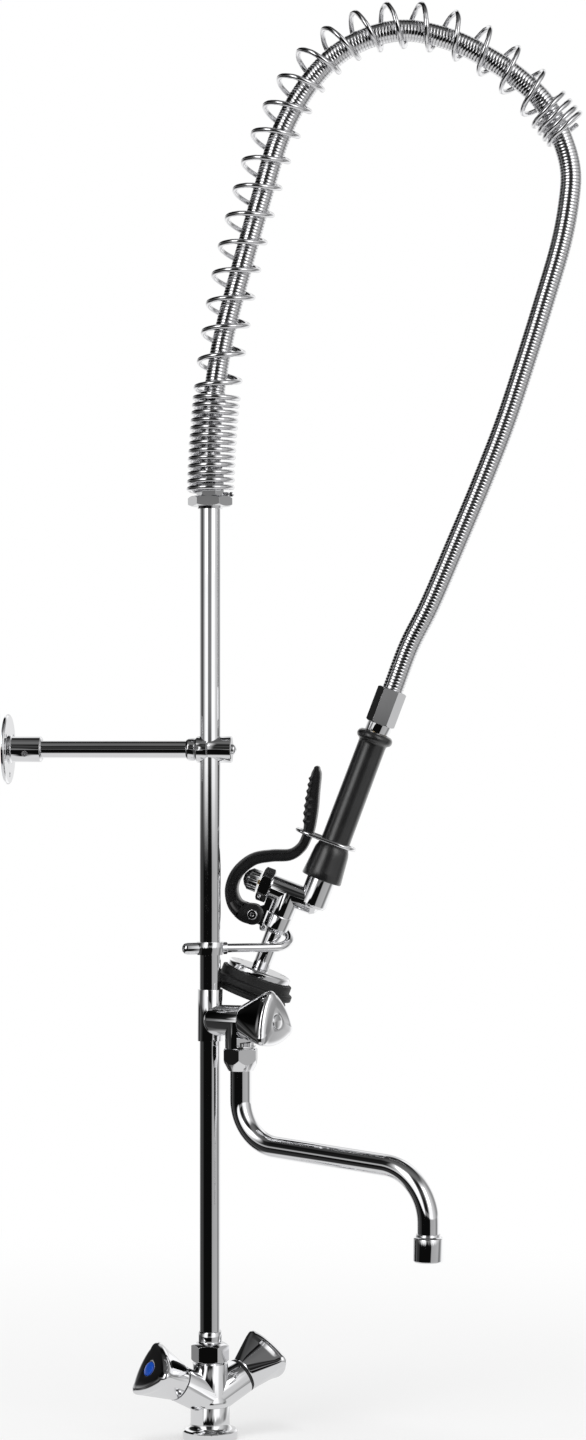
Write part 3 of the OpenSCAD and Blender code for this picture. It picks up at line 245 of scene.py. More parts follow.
def soft_rubber(tree, colour, low, high, scale, sheen=0.0):
    """Black rubber with a fine grain, and a soft sheen where it is handled."""
    return {"Coat Weight": sheen,
            "Coat Roughness": 0.22,
            "Base Color": tree.noise(70, 5).ramp(*tinted(colour, 0.75, 1.3)),
            "Roughness": tree.noise(scale, 6, 0.65).mapped(0.3, 0.75, low, high),
            "Normal": tree.bump(tree.noise(scale * 4, 5, 0.6), 0.25, 0.0002)}


def moulded_plastic(tree, colour, low, high, coat=0.0):
    """Moulded plastic with a faint grain."""
    return {"Coat Weight": coat,
            "Base Color": tree.noise(60, 3).ramp(*tinted(colour, 0.85, 1.15)),
            "Roughness": tree.noise(240, 5, 0.6).mapped(0.3, 0.75, low, high),
            "Normal": tree.bump(tree.noise(1400, 4), 0.18, 0.0001)}


# Mesh making

def finished(name, mesh, look, body, solid):
    """Puts a mesh in the scene as a piece that rides on a body and stands for one of its solids."""
    mesh.name = name
    obj = bpy.data.objects.new(name, mesh)
    bpy.context.scene.collection.objects.link(obj)
    if not mesh.materials:
        mesh.materials.append(finish(look))
    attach(obj, body)
    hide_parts(solid)
    return obj


def mesh_from(points, faces, sharp=math.radians(35)):
    """A smooth-shaded mesh whose edges are crisp where its faces turn by more than sharp."""
    mesh = bpy.data.meshes.new("shape")
    mesh.from_pydata([tuple(p) for p in points], [], faces)
    mesh.validate()
    bm = bmesh.new()
    bm.from_mesh(mesh)
    bmesh.ops.remove_doubles(bm, verts=bm.verts, dist=1e-7)
    bmesh.ops.recalc_face_normals(bm, faces=bm.faces)
    for face in bm.faces:
        face.smooth = True
    for edge in bm.edges:
        if len(edge.link_faces) == 2 and edge.calc_face_angle(0) > sharp:
            edge.smooth = False
    bm.to_mesh(mesh)
    bm.free()
    return mesh


def joined(*meshes):
    """One mesh out of several that may touch but keep their own skins."""
    bm = bmesh.new()
    for mesh in meshes:
        bm.from_mesh(mesh)
    out = bpy.data.meshes.new("shape")
    bm.to_mesh(out)
    bm.free()
    return out


def loft(rings):
    """Skin over rings that have the same number of points, with flat ends."""
    n = len(rings[0])
    points = [p for ring in rings for p in ring]
    faces = [(i * n + j, i * n + (j + 1) % n, (i + 1) * n + (j + 1) % n, (i + 1) * n + j)
             for i in range(len(rings) - 1) for j in range(n)]
    faces.append(tuple(reversed(range(n))))
    faces.append(tuple(range((len(rings) - 1) * n, len(rings) * n)))
    return points, faces


def lathe(profile, place, sides=96, sharp=math.radians(28)):
    """Turned shape: profile is [(radius, height), ...] in a frame that place takes to the CAD frame."""
    points, faces, rows = [], [], []
    for r, z in profile:
        if r < 1e-6:
            rows.append([len(points)] * sides)
            points.append(place @ Vector((0, 0, z)))
        else:
            rows.append(list(range(len(points), len(points) + sides)))
            points += [place @ Vector((r * math.cos(a), r * math.sin(a), z))
                       for a in (2 * math.pi * k / sides for k in range(sides))]
    for low, high in zip(rows, rows[1:]):
        for k in range(sides):
            face = [low[k], low[(k + 1) % sides], high[(k + 1) % sides], high[k]]
            slim = [v for i, v in enumerate(face) if v not in face[:i]]
            if len(slim) > 2:
                faces.append(tuple(slim))
    return mesh_from(points, faces, sharp)


def run_at(path, i):
    """Direction of a path at its point i."""
    return unit(path[min(i + 1, len(path) - 1)] - path[max(i - 1, 0)])


def circle_round(run, out, sides):
    """Directions round a bar that runs one way, from out onwards."""
    side = run.cross(out)
    return [out * math.cos(2 * math.pi * k / sides) + side * math.sin(2 * math.pi * k / sides)
            for k in range(sides)]


def tube_rings(path, radius, sides):
    """Rings of a round bar along a path, turned as little as possible from one to the next."""
    rings = []
    out = unit(run_at(path, 0).orthogonal())
    for i, p in enumerate(path):
        run = run_at(path, i)
        out = unit(out - run * out.dot(run))
        rings.append([p + radius * c for c in circle_round(run, out, sides)])
    return rings


def rounded(profile, r, steps):
    """A profile with the corners between its ends rounded off."""
    out = [profile[0]]
    for a, b, c in zip(profile, profile[1:], profile[2:]):
        a, b, c = Vector(a), Vector(b), Vector(c)
        reach = min(r, (a - b).length * 0.45, (c - b).length * 0.45)
        if reach < 1e-4 or (b - a).length < 1e-6:
            out.append(tuple(b))
            continue
        start, end = b + unit(a - b) * reach, b + unit(c - b) * reach
        for j in range(steps + 1):
            t = j / steps
            out.append(tuple((1 - t) ** 2 * start + 2 * t * (1 - t) * b + t * t * end))
    return out + [profile[-1]]


# Settings that a user would change

class FaucetSettings(bpy.types.PropertyGroup):
    """Sizes and colours of the dressed pieces."""

    chrome: bpy.props.FloatVectorProperty(name="Chrome", description="Tint of the polished chrome",
                                          subtype="COLOR", default=(0.86, 0.862, 0.875), min=0, max=1)
    steel: bpy.props.FloatVectorProperty(name="Steel", description="Tint of the spring and the hose",
                                         subtype="COLOR", default=(0.80, 0.80, 0.815), min=0, max=1)
    brass: bpy.props.FloatVectorProperty(name="Brass", description="Tint of the bare brass inside",
                                         subtype="COLOR", default=(0.72, 0.52, 0.24), min=0, max=1)
    rubber: bpy.props.FloatVectorProperty(name="Rubber", description="Colour of grip, bumper and rings",
                                          subtype="COLOR", default=(0.008, 0.008, 0.0085), min=0, max=1)
    lever: bpy.props.FloatVectorProperty(name="Lever", description="Colour of the squeeze lever",
                                         subtype="COLOR", default=(0.009, 0.009, 0.0095), min=0, max=1)
    cold: bpy.props.FloatVectorProperty(name="Cold mark", description="Colour of the cold tap's button",
                                        subtype="COLOR", default=(0.006, 0.07, 0.44), min=0, max=1)
    hot: bpy.props.FloatVectorProperty(name="Hot mark", description="Colour of the hot tap's button",
                                       subtype="COLOR", default=(0.55, 0.02, 0.012), min=0, max=1)
    wire: bpy.props.FloatProperty(name="Wire", description="Diameter of the spring's wire", unit="LENGTH",
                                  default=0.0044, min=0.003, max=0.005)
    wire_sides: bpy.props.IntProperty(name="Wire sides", description="Sides round the spring's wire",
                                      default=14, min=6, max=24)
    curl_rings: bpy.props.IntProperty(name="Rings a curl", description="Rings of points on each curl",
                                      default=32, min=8, max=64)
    hose: bpy.props.FloatProperty(name="Hose", description="Diameter of the hose over its ribs", unit="LENGTH",
                                  default=0.0184, min=0.014, max=0.02)
    hose_ribs: bpy.props.IntProperty(name="Hose ribs", description="Number of ribs along the hose",
                                     default=400, min=100, max=500)
    rib_depth: bpy.props.FloatProperty(name="Rib depth", description="Depth of the grooves between the ribs",
                                       unit="LENGTH", default=0.00022, min=0.0001, max=0.002)


def settings():
    return bpy.context.scene.faucet


# Each finish: its maker, the setting that tints it, and the maker's other values
FINISHES = {
    "polished_chrome": (polished_chrome, "chrome"),
    "spring_steel": (bright_steel, "steel", 0.05, 300),
    "screw_steel": (bright_steel, "steel", 0.3, 600),
    "ribbed_hose_steel": (hose_steel, "steel"),
    "machined_brass": (machined_brass, "brass"),
    "grip_rubber": (soft_rubber, "rubber", 0.3, 0.42, 260, 0.9),
    "seal_rubber": (soft_rubber, "rubber", 0.5, 0.7, 500),
    "lever_plastic": (moulded_plastic, "lever", 0.22, 0.32),
    "aerator_plastic": (moulded_plastic, "lever", 0.4, 0.5),
    "cold_mark": (moulded_plastic, "cold", 0.2, 0.3, 0.2),
    "hot_mark": (moulded_plastic, "hot", 0.2, 0.3, 0.2),
}


def finish(name):
    """The finish of that name, made once round a Principled shader."""
    made = bpy.data.materials.get(name)
    if made:
        return made
    maker, tint, *values = FINISHES[name]
    material = bpy.data.materials.new(name)
    material.use_nodes = True
    tree = Tree(material.node_tree)
    shader = tree.add("ShaderNodeBsdfPrincipled", inputs=maker(tree, getattr(settings(), tint), *values))
    tree.add("ShaderNodeOutputMaterial", inputs={"Surface": shader})
    return material


# Finish of each solid that isn't polished chrome
KEPT = {
    "machined_brass": ("tap_cartridges", "cold_spindle", "hot_spindle", "mid_spindle", "valve_stem", "grip_tube"),
    "grip_rubber": ("rubber_grip",),
    "lever_plastic": ("spray_lever",),
    "seal_rubber": ("rubber_bumper", "base_gasket", "riser_seals", "tap_seal_rings", "spout_seals"),
    "aerator_plastic": ("aerator_insert",),
    "screw_steel": ("return_spring", "cold_handle_screw", "hot_handle_screw", "mid_handle_screw", "plate_screws",
                    "socket_grub_screw", "clamp_grub_screw", "hook_grub_screw", "spray_face"),
    "cold_mark": ("cold_index",),
    "hot_mark": ("hot_index",),
}

# Solids whose edges are eased, with the width of the ease in millimetres
EASED = {"base_body": 0.5, "column_nut": 0.45, "column_collar": 0.3, "tee_body": 0.5, "spout_nut": 0.45,
         "aerator_housing": 0.3, "wall_flange": 0.3, "wall_socket": 0.4, "stay_ferrule": 0.3, "clamp_body": 0.4,
         "clamp_cap": 0.4, "clamp_bolt": 0.2, "spring_seat_nut": 0.5, "hose_swivel_nut": 0.4,
         "hose_guide_collar": 0.3, "grip_hose_nut": 0.4, "valve_body": 0.5, "bonnet_nut": 0.45, "spray_neck": 0.3,
         "spray_plate": 0.4, "lever_bolt": 0.25, "push_button": 0.3, "hook": 0.3}


def ease_edges(obj, width):
    """Merges a copy of the solid's loose triangles as it is drawn, and rounds its sharp edges a little."""
    merged = obj.modifiers.new("merged", "WELD")
    merged.merge_threshold = 1e-6
    flats = obj.modifiers.new("flats", "DECIMATE")
    flats.decimate_type = "DISSOLVE"
    flats.angle_limit = math.radians(0.5)
    ease = obj.modifiers.new("ease", "BEVEL")
    ease.width = width * MM
    ease.segments = 3
    ease.limit_method = "ANGLE"
    ease.angle_limit = math.radians(28)
    ease.harden_normals = True


class FAUCET_OT_finishes(bpy.types.Operator):
    """Give every solid that stays its own procedural finish, and ease the edges of the plated ones"""
    bl_idname = "faucet.finishes"
    bl_label = "Finish the solids"

    def execute(self, context):
        finish_of = {node: name for name, nodes in KEPT.items() for node in nodes}
        for name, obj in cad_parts.items():
            obj.data.materials.clear()
            obj.data.materials.append(finish(finish_of.get(name, "polished_chrome")))
            if name in EASED:
                ease_edges(obj, EASED[name])
        return {"FINISHED"}


# Each tap: plan direction and rise in degrees, height and arm length in millimetres, the lobes' phase in degrees,
# and the gap behind the handle in millimetres
TAPS = {
    "cold": (217.0, 27.5, 33.5, 34.0, -26.0, 0.3),
    "hot": (37.0, 27.5, 33.5, 34.0, 30.0, 2.7),
    "mid": (-30.0, 1.5, 355.0, 36.9, -9.0, 0.3),
}
HANDLE_DEPTH = 32.8
# Finish and slot of the button in each tap's handle
BUTTONS = {"cold": ("cold_mark", "blue_plastic"), "hot": ("hot_mark", "red_plastic"),
           "mid": ("polished_chrome", "chrome")}


def arm_end(tap):
    """Matrix to the CAD frame from a tap's own at its arm's end, in millimetres, with +Z outwards and -X upwards."""
    turn, rise, height, length = TAPS[tap][:4]
    return (Matrix.Scale(MM, 4) @ Matrix.Rotation(math.radians(turn), 4, "Z") @ Matrix.Translation((0, 0, height))
            @ Matrix.Rotation(math.radians(90 - rise), 4, "Y") @ Matrix.Translation((0, 0, length)))


def lobed_ring(c, r, bulge, z, fine):
    """One section of a handle: three arcs of radius r round lobe centres at radius c, joined by bulging sides."""
    ring = []
    for k in range(3):
        here, there = math.radians(120 * k), math.radians(120 * k + 120)
        for j in range(fine + 1):
            a = here + math.radians(-60 + 120 * j / fine)
            ring.append((c * math.cos(here) + r * math.cos(a), c * math.sin(here) + r * math.sin(a), z))
        for j in range(1, fine):
            t = j / fine
            a = here + math.radians(60)
            out = r + bulge * 4 * t * (1 - t)
            ring.append((c * (math.cos(here) * (1 - t) + math.cos(there) * t) + out * math.cos(a),
                         c * (math.sin(here) * (1 - t) + math.sin(there) * t) + out * math.sin(a), z))
    return ring


def handle_mesh(tap):
    """A lobed handle, from sections that each give lobe centres' and lobes' radii, bulge and height."""
    phase, gap = TAPS[tap][4:]
    d = HANDLE_DEPTH
    stations = [(0, 13.4, 0, 0), (0, 14.5, 0, 0.15), (0, 15, 0, 0.8), (0.5, 15, 0, 1.8),
                (18.2, 6.5, 1.6, d - 10.2), (18.9, 6.45, 1.9, d - 8.4), (19.7, 6.4, 2.6, d - 6.4),
                (20.1, 6.4, 2.9, d - 5), (20.2, 6.3, 3, d - 3.8), (20.2, 6.0, 3, d - 2.8),
                (20.0, 5.4, 3, d - 1.9), (19.7, 4.7, 3, d - 1.15), (19.2, 4.0, 3, d - 0.6),
                (18.5, 3.5, 3, d - 0.25), (17.6, 3.3, 2.9, d - 0.05), (15.5, 3.1, 2.4, d + 0.1),
                (10, 2.9, 0.9, d + 0.3), (7, 3.6, 0.6, d + 0.35), (3, 5.2, 0.3, d + 0.3),
                (0, 6.6, 0, d + 0.2), (0, 6.3, 0, d - 0.1), (0, 6.2, 0, d - 1.5)]
    place = (arm_end(tap) @ Matrix.Rotation(math.radians(180 - phase), 4, "Z")
             @ Matrix.Translation((0, 0, gap)))
    rings = [[place @ Vector(p) for p in lobed_ring(*station, fine=14)] for station in stations]
    return mesh_from(*loft(rings), sharp=math.radians(50))


def button_mesh(tap):
    """A domed button that fills its seat in the handle's face."""
    return lathe([(0, -1.4), (5.4, -1.4), (6, -0.9), (6, 0.3), (5.8, 0.7), (5.1, 1.0), (3, 1.25), (0, 1.35)],
                 arm_end(tap) @ Matrix.Translation((0, 0, TAPS[tap][5] + HANDLE_DEPTH)))


class FAUCET_OT_handles(bpy.types.Operator):
    """Model the three lobed handles with rounded rims, and the domed buttons in their faces"""
    bl_idname = "faucet.handles"
    bl_label = "Make the handles"

    def execute(self, context):
        for tap, (mark, slot) in BUTTONS.items():
            body = f"{tap}_tap"
            finished(f"{tap}_handle_cast", handle_mesh(tap), "polished_chrome", body, f"{tap}_handle")
            finished(f"{tap}_button_domed", button_mesh(tap), mark, body, f"{tap}_index")
        return {"FINISHED"}


# Arch spring: its centre line from the seat up, turned in plan, and the pitch of its curls by their number

ARCH_POINTS = [(0, 2.5), (2, 45), (6.5, 95), (14.3, 150), (25.3, 205), (40.3, 262), (58.3, 314), (83.5, 360),
               (118, 389), (161, 401), (206, 393), (245, 371), (275, 343), (304.5, 308.7)]
ARCH_TURN = math.radians(5)
PITCHES = [(0, 5.6), (1.5, 6.4), (13, 6.4), (14, 24.4), (29, 24.4), (29.6, 27.2), (34.2, 27.2), (34.5, 8.96),
           (37.5, 5.6), (38.4, 5.6)]
# Radius in metres from the arch's centre line to the middle of the wire
COIL = 0.0183
# Rings at a cut end of the wire, as share of its radius and depth in millimetres
CUT_END = [(0.5, 0.0), (0.84, 0.2), (1.0, 0.7)]


def spring_line(rings):
    """Centre of the spring's wire, and the direction out from the arch's centre line, at each ring."""
    path = smooth_path([(x * MM, 0, SEAT_TOP + z * MM) for x, z in ARCH_POINTS], steps=8)
    along = distances(path)
    turns = [t for t, p in PITCHES]
    pitch = [p * MM for t, p in PITCHES]
    count = int(turns[-1] * rings)
    near = 0.5 * MM

    def at(s):
        return Vector([looked_up(s, along, [p[k] for p in path]) for k in range(3)])

    line, outs, s = [], [], 0.0
    turn = Matrix.Rotation(ARCH_TURN, 3, "Z")
    for i in range(count + 1):
        if i:
            s += looked_up((i - 0.5) / rings, turns, pitch) / rings
        run = unit(at(s + near) - at(s - near))
        a = 2 * math.pi * i / rings
        out = Vector((run.z * math.cos(a), math.sin(a), -run.x * math.cos(a)))
        line.append(turn @ (at(s) + COIL * out))
        outs.append(turn @ out)
    return line, outs


class FAUCET_OT_spring(bpy.types.Operator):
    """Wind the arch spring from one wire with smooth curls and cut ends"""
    bl_idname = "faucet.spring"
    bl_label = "Wind the spring"

    def execute(self, context):
        s = settings()
        line, outs = spring_line(s.curl_rings)
        first, last = 0, len(line) - 1
        rings = []
        for i, (p, out) in enumerate(zip(line, outs)):
            run = run_at(line, i)
            circle = circle_round(run, unit(out - run * out.dot(run)), s.wire_sides)
            inwards, steps = {first: (1, CUT_END), last: (-1, CUT_END[::-1])}.get(i, (0, [(1.0, 0.0)]))
            for share, depth in steps:
                rings.append([p + run * inwards * depth * MM + s.wire / 2 * share * c for c in circle])
        finished("arch_spring_wire", mesh_from(*loft(rings)), "spring_steel", "arch",
                 "arch_spring")
        return {"FINISHED"}


# Hose: the points of its route, measured from the spring's seat

HOSE_POINTS = [(0, 0, 26), (0, 0, 46), (3, 0, 84), (11, 1, 133), (24, 2, 184), (43, 4, 252), (61, 5, 310),
               (87, 8, 355), (119, 10, 383), (161, 14, 396), (204, 18, 388), (240, 21, 370), (264, 23, 353),
               (284, 25, 333), (298, 26, 304), (305, 27, 278), (304, 27, 252), (297, 27, 214), (282, 27, 163),
               (266, 27, 112), (249, 27, 61), (229, 27, 10), (207.5, 27, -41), (185.5, 27, -92)]
# Length of the hose's last stretch, which runs straight down the grip's axis
HOSE_STRAIGHT = 40


def hose_path():
    """The hose's centre line, from the riser to its end in the gun's nut."""
    points = [Vector((x * MM, y * MM, SEAT_TOP + z * MM)) for x, y, z in HOSE_POINTS]
    points += [GUN @ Vector((0, 0, HOSE_END + HOSE_STRAIGHT)), GUN @ Vector((0, 0, HOSE_END))]
    return smooth_path(points, steps=6)


def hose_tree():
    """Geometry Nodes that lay a ribbed tube along a curve, with narrow grooves between broad ribs."""
    rings_per_rib, sharpness = 8, 8.0
    group = bpy.data.node_groups.new("ribbed_hose", "GeometryNodeTree")
    for name, kind in (("Path", "NodeSocketGeometry"), ("Ribs", "NodeSocketInt"), ("Rib depth", "NodeSocketFloat"),
                       ("Radius", "NodeSocketFloat"), ("Sides", "NodeSocketInt")):
        group.interface.new_socket(name, in_out="INPUT", socket_type=kind)
    group.interface.new_socket("Hose", in_out="OUTPUT", socket_type="NodeSocketGeometry")
    tree = Tree(group)
    given = tree.add("NodeGroupInput")
    index = tree.add("GeometryNodeInputIndex")
    groove = (index * (math.pi / rings_per_rib)).maths("COSINE").maths("ABSOLUTE").maths("POWER", sharpness)
    line = tree.add("GeometryNodeResampleCurve", inputs={"Curve": given.output("Path"),
                                                         "Count": given.output("Ribs") * rings_per_rib + 1})
    # rib_height is 1 on the crests and 0 in the grooves; the hose's finish paints shade into the grooves from it
    line = tree.add("GeometryNodeStoreNamedAttribute", {"data_type": "FLOAT", "domain": "POINT"},
                    {"Geometry": line, "Name": "rib_height", "Value": 1.0 - groove})
    ring = tree.add("GeometryNodeCurvePrimitiveCircle", inputs={"Radius": 1.0, "Resolution": given.output("Sides")})
    radius = given.output("Radius") - given.output("Rib depth") * groove
    hose = tree.add("GeometryNodeCurveToMesh", inputs={"Curve": line, "Profile Curve": ring, "Scale": radius,
                                                       "Fill Caps": True})
    hose = tree.add("GeometryNodeSetShadeSmooth", inputs={"Geometry": hose})
    hose = tree.add("GeometryNodeRealizeInstances", inputs={"Geometry": hose})
    hose = tree.add("GeometryNodeSetMaterial", inputs={"Geometry": hose, "Material": finish("ribbed_hose_steel")})
    tree.add("NodeGroupOutput", inputs={"Hose": hose})
    return group


def through_nodes(source, group, **values):
    """Runs a Geometry Nodes group on an object and gives back its result as a plain mesh."""
    modifier = source.modifiers.new("nodes", "NODES")
    modifier.node_group = group
    sockets = {item.name: item.identifier for item in group.interface.items_tree if item.in_out == "INPUT"}
    for label, value in values.items():
        modifier[sockets[label.replace("_", " ")]] = value
    bpy.context.view_layer.update()
    graph = bpy.context.evaluated_depsgraph_get()
    mesh = bpy.data.meshes.new_from_object(source.evaluated_get(graph))
    source.modifiers.remove(modifier)
    bpy.data.objects.remove(source)
    return mesh


class FAUCET_OT_hose(bpy.types.Operator):
    """Lay the ribbed steel hose from the riser over the arch and down to the gun"""
    bl_idname = "faucet.hose"
    bl_label = "Lay the hose"

    def execute(self, context):
        s = settings()
        path = hose_path()
        curve = bpy.data.curves.new("hose_path", "CURVE")
        curve.dimensions = "3D"
        spline = curve.splines.new("POLY")
        spline.points.add(len(path) - 1)
        for point, p in zip(spline.points, path):
            point.co = (*p, 1)
        line = bpy.data.objects.new("hose_path", curve)
        bpy.context.scene.collection.objects.link(line)
        mesh = through_nodes(line, hose_tree(), Ribs=s.hose_ribs, Rib_depth=s.rib_depth, Radius=s.hose / 2,
                             Sides=20)
        obj = finished("spray_hose_ribbed", mesh, "ribbed_hose_steel", "arch", "spray_hose")
        length = distances(path)[-1]
        return {"FINISHED"}


# Spout, in a frame of its own in millimetres, with +Z up its swivel and +X along its arm

SPOUT_FORWARD, SWIVEL_OUT = math.radians(-30), 32
SPOUT = Matrix.Scale(MM, 4) @ Matrix.Rotation(SPOUT_FORWARD, 4, "Z") @ Matrix.Translation((SWIVEL_OUT, 0, 0))
SPOUT_RADIUS = 0.009


def spout_path():
    """Centre line of the spout: down from the swivel, out along a slightly falling arm and down to the aerator."""
    top, straight_to, reach, fall, tip, parts = 321.3, 305, 188.0, math.radians(3.4), 11.6, 28
    r1, bend_1_z, r2 = 38.0, 289.6, 44.0
    sweep = math.pi / 2 - fall
    angles = [sweep * i / parts for i in range(parts + 1)]
    run = (reach - r2 + r2 * math.cos(sweep) - r1 * (1 - math.cos(sweep))) / math.cos(fall)
    bend_2_z = bend_1_z - r1 * math.sin(sweep) - run * math.sin(fall) - r2 * math.sin(sweep)
    path = [(0, 0, top), (0, 0, straight_to)]
    path += [(r1 * (1 - math.cos(a)), 0, bend_1_z - r1 * math.sin(a)) for a in angles]
    path += [(reach - r2 + r2 * math.cos(a), 0, bend_2_z + r2 * math.sin(a)) for a in reversed(angles)]
    return path + [(reach, 0, bend_2_z - tip)]


class FAUCET_OT_spout(bpy.types.Operator):
    """Bend the swing spout as one smooth tube with its seat ring"""
    bl_idname = "faucet.spout"
    bl_label = "Bend the spout"

    def execute(self, context):
        path = [SPOUT @ Vector(p) for p in spout_path()]
        tube = mesh_from(*loft(tube_rings(path, SPOUT_RADIUS, sides=48)))
        seat = [(7.8, 321.4), (10.9, 321.4), (10.9, 324.7), (9, 324.7), (9, 337.5), (7.8, 337.5), (7.8, 321.4)]
        ring = lathe(rounded(seat, r=0.3, steps=2), SPOUT)
        finished("swing_spout_tube", joined(tube, ring), "polished_chrome", "spout", "spout_tube")
        return {"FINISHED"}


# Gun: the lever's line, each point across, up and half as thick, from its tip to its pivot

LEVER_POINTS = [(-36.7, 107.7, 2.4), (-35.5, 103, 4.2), (-32.7, 90, 5), (-28.8, 74, 5.6), (-24.9, 58, 4.8),
                (-24.3, 49, 4.2), (-25.8, 39.5, 4.4), (-32.5, 30.5, 5), (-47, 24, 5.2), (-60.5, 15.5, 5.4),
                (-68.9, 1, 5.2), (-69.2, -14, 5.4), (-62, -25.2, 6.5), (-52, -29, 8.2), (-44.1, -28.4, 9)]
LEVER_STEPS = 20
LEVER_HALF_WIDTH = 8.0
# Half the gap between the fork's cheeks, and where on the points the fork starts
FORK_GAP = 3.6
FORK_STARTS = 12.7
# The round teeth under the fingers: where they are on the points, the length of one, and their height
TEETH_FROM, TEETH_TO, TOOTH_STRETCH, TOOTH_HEIGHT = 1.2, 3.8, 0.375, 1.25


def lever_line():
    """Stops along the lever: middle, direction outwards, direction along, half thickness and place on the points."""
    path = smooth_path(LEVER_POINTS, LEVER_STEPS)
    middles = [Vector((across, 0, up)) for across, up, thick in path]
    stops = []
    for i, middle in enumerate(middles):
        run = run_at(middles, i)
        stops.append((middle, Vector((run.z, 0, -run.x)), run, path[i].z, i / LEVER_STEPS))
    return stops


def channel_section(outer, inner, half):
    """Section of the lever's whole band as (outwards, across) points, with a shallow channel in both sides."""
    soft, groove = min(1.6, 0.4 * inner), 0.9
    near = [(outer, half - soft - 0.6), (outer - 0.3 * soft, half - 0.3 * soft), (outer - soft, half),
            (0.42 * outer, half), (0.3 * outer, half - groove), (-0.42 * inner, half - groove),
            (-0.54 * inner, half), (soft - inner, half), (0.3 * soft - inner, half - 0.3 * soft),
            (-inner, half - soft - 0.6)]
    return near + [(n, -y) for n, y in reversed(near)]


def cheek_section(thick, low, high):
    """Section of one cheek of the lever's fork, in the same way."""
    soft, crisp = 0.9, 0.3
    return [(thick, low + crisp), (thick, high - soft), (thick - 0.3 * soft, high - 0.3 * soft),
            (thick - soft, high), (soft - thick, high), (0.3 * soft - thick, high - 0.3 * soft),
            (-thick, high - soft), (-thick, low + crisp), (crisp - thick, low), (thick - crisp, low)]


def tooth_at(place):
    """Height of the teeth at a place on the lever's points."""
    if not TEETH_FROM < place < TEETH_TO:
        return 0.0
    return TOOTH_HEIGHT * (0.5 + 0.5 * math.cos(2 * math.pi * (place - 1) / TOOTH_STRETCH)) ** 1.4


def lever_mesh():
    """The lever: a toothed band with a rounded tip, and the two cheeks of its fork with rounded ends."""
    half, sharp = LEVER_HALF_WIDTH, math.radians(50)
    stops = lever_line()

    def ring(stop, section, shift=0.0, shrink=1.0, keep=1.0):
        middle, out, run = stop[:3]
        return [GUN @ (middle + run * shift + out * (n * shrink) + Vector((0, y * keep, 0))) for n, y in section]

    rings = []
    tip, end = stops[0], stops[-1]
    for a in (math.radians(d) for d in (84, 66, 48, 32, 16)):
        rings.append(ring(tip, channel_section(tip[3], tip[3], half), -tip[3] * math.sin(a), math.cos(a),
                          0.7 + 0.3 * math.cos(a)))
    for stop in stops:
        if stop[4] <= FORK_STARTS:
            rings.append(ring(stop, channel_section(stop[3] + tooth_at(stop[4]), stop[3], half)))
    pieces = [mesh_from(*loft(rings), sharp)]
    fork = [(stop, stop[3], 0.0) for stop in stops if stop[4] >= FORK_STARTS - 0.1]
    fork += [(end, end[3] * math.cos(a), end[3] * math.sin(a)) for a in (math.radians(d) for d in range(10, 90, 10))]
    for sign in (1, -1):
        rings = [ring(stop, [(n, sign * y) for n, y in cheek_section(thick, FORK_GAP, half)], shift)
                 for stop, thick, shift in fork]
        pieces.append(mesh_from(*loft(rings), sharp))
    return joined(*pieces)


def grip_mesh():
    """The grip's rubber, turned round its axis: skirt, shaft and bead, bored for the tube and the inlet."""
    bead_r, bead_out, bead_z = 4.4, 15.8, 150.0
    bead = [(bead_out - bead_r + bead_r * math.cos(a), bead_z + bead_r * math.sin(a))
            for a in (math.radians(d) for d in range(-45, 80, 15))]
    outside = [(17.0, 20.5), (17.6, 21.4), (16.9, 28), (16.3, 34), (15.75, 40), (15.35, 44), (14.95, 46.4),
               (14.3, 48.6), (13.6, 50.2), (13.05, 51.8), (12.75, 54), (12.6, 60), (12.5, 80), (12.3, 110),
               (12.15, 132), (12.15, 143), (12.3, 144.8), (12.8, 145.9)]
    inside = [(10.1, 154.5), (8.6, 154.5), (8.6, 38), (12.4, 36), (12.4, 20.5), (17.0, 20.5)]
    return lathe(outside + bead + inside, GUN, sharp=math.radians(45))


def bumper_mesh():
    """The bumper's rubber ring, turned round the gun's neck and measured down from the plate's foot."""
    plate_top, plate_thick, gap = -69.7, 6, 0.1
    under_plate = Matrix.Translation((-NECK_OFF, 0, plate_top - plate_thick - gap))
    profile = [(25.1, -0.1), (31, -0.1), (31, -6.4), (34.2, -7.8), (34.2, -12.4), (30.5, -14), (30.5, -15.2),
               (31.5, -16.2), (31.5, -19.6), (21.2, -19.6), (21.2, -3.2), (25.1, -3.2), (25.1, -0.1)]
    return lathe(rounded(profile, r=0.8, steps=4), GUN @ under_plate, sides=128, sharp=math.radians(40))


class FAUCET_OT_gun(bpy.types.Operator):
    """Mould the squeeze lever, the rubber grip and the bumper of the spray gun"""
    bl_idname = "faucet.gun"
    bl_label = "Dress the gun"

    def execute(self, context):
        finished("squeeze_lever_moulded", lever_mesh(), "lever_plastic", "lever", "spray_lever")
        finished("rubber_grip_moulded", grip_mesh(), "grip_rubber", "arch", "rubber_grip")
        finished("rubber_bumper_moulded", bumper_mesh(), "seal_rubber", "arch", "rubber_bumper")
        return {"FINISHED"}


# Stage: what the camera looks at, its distance in metres, how far round it stands and how much it sees upwards

VIEW_AIM = Vector((0.0702, 0.0061, 0.610))
VIEW_DISTANCE = 2.9
VIEW_TURN = math.radians(5)
VIEW_ANGLE = math.radians(23.83)


class FAUCET_OT_stage(bpy.types.Operator):
    """Set the pale floor, the soft studio light and the camera"""
    bl_idname = "faucet.stage"
    bl_label = "Set the stage"

    def execute(self, context):
        scene = context.scene
        scene.view_settings.view_transform = "Standard"
        make_camera(scene)
        make_floor(scene)
        make_world(scene)
        make_lamps(scene)
        return {"FINISHED"}


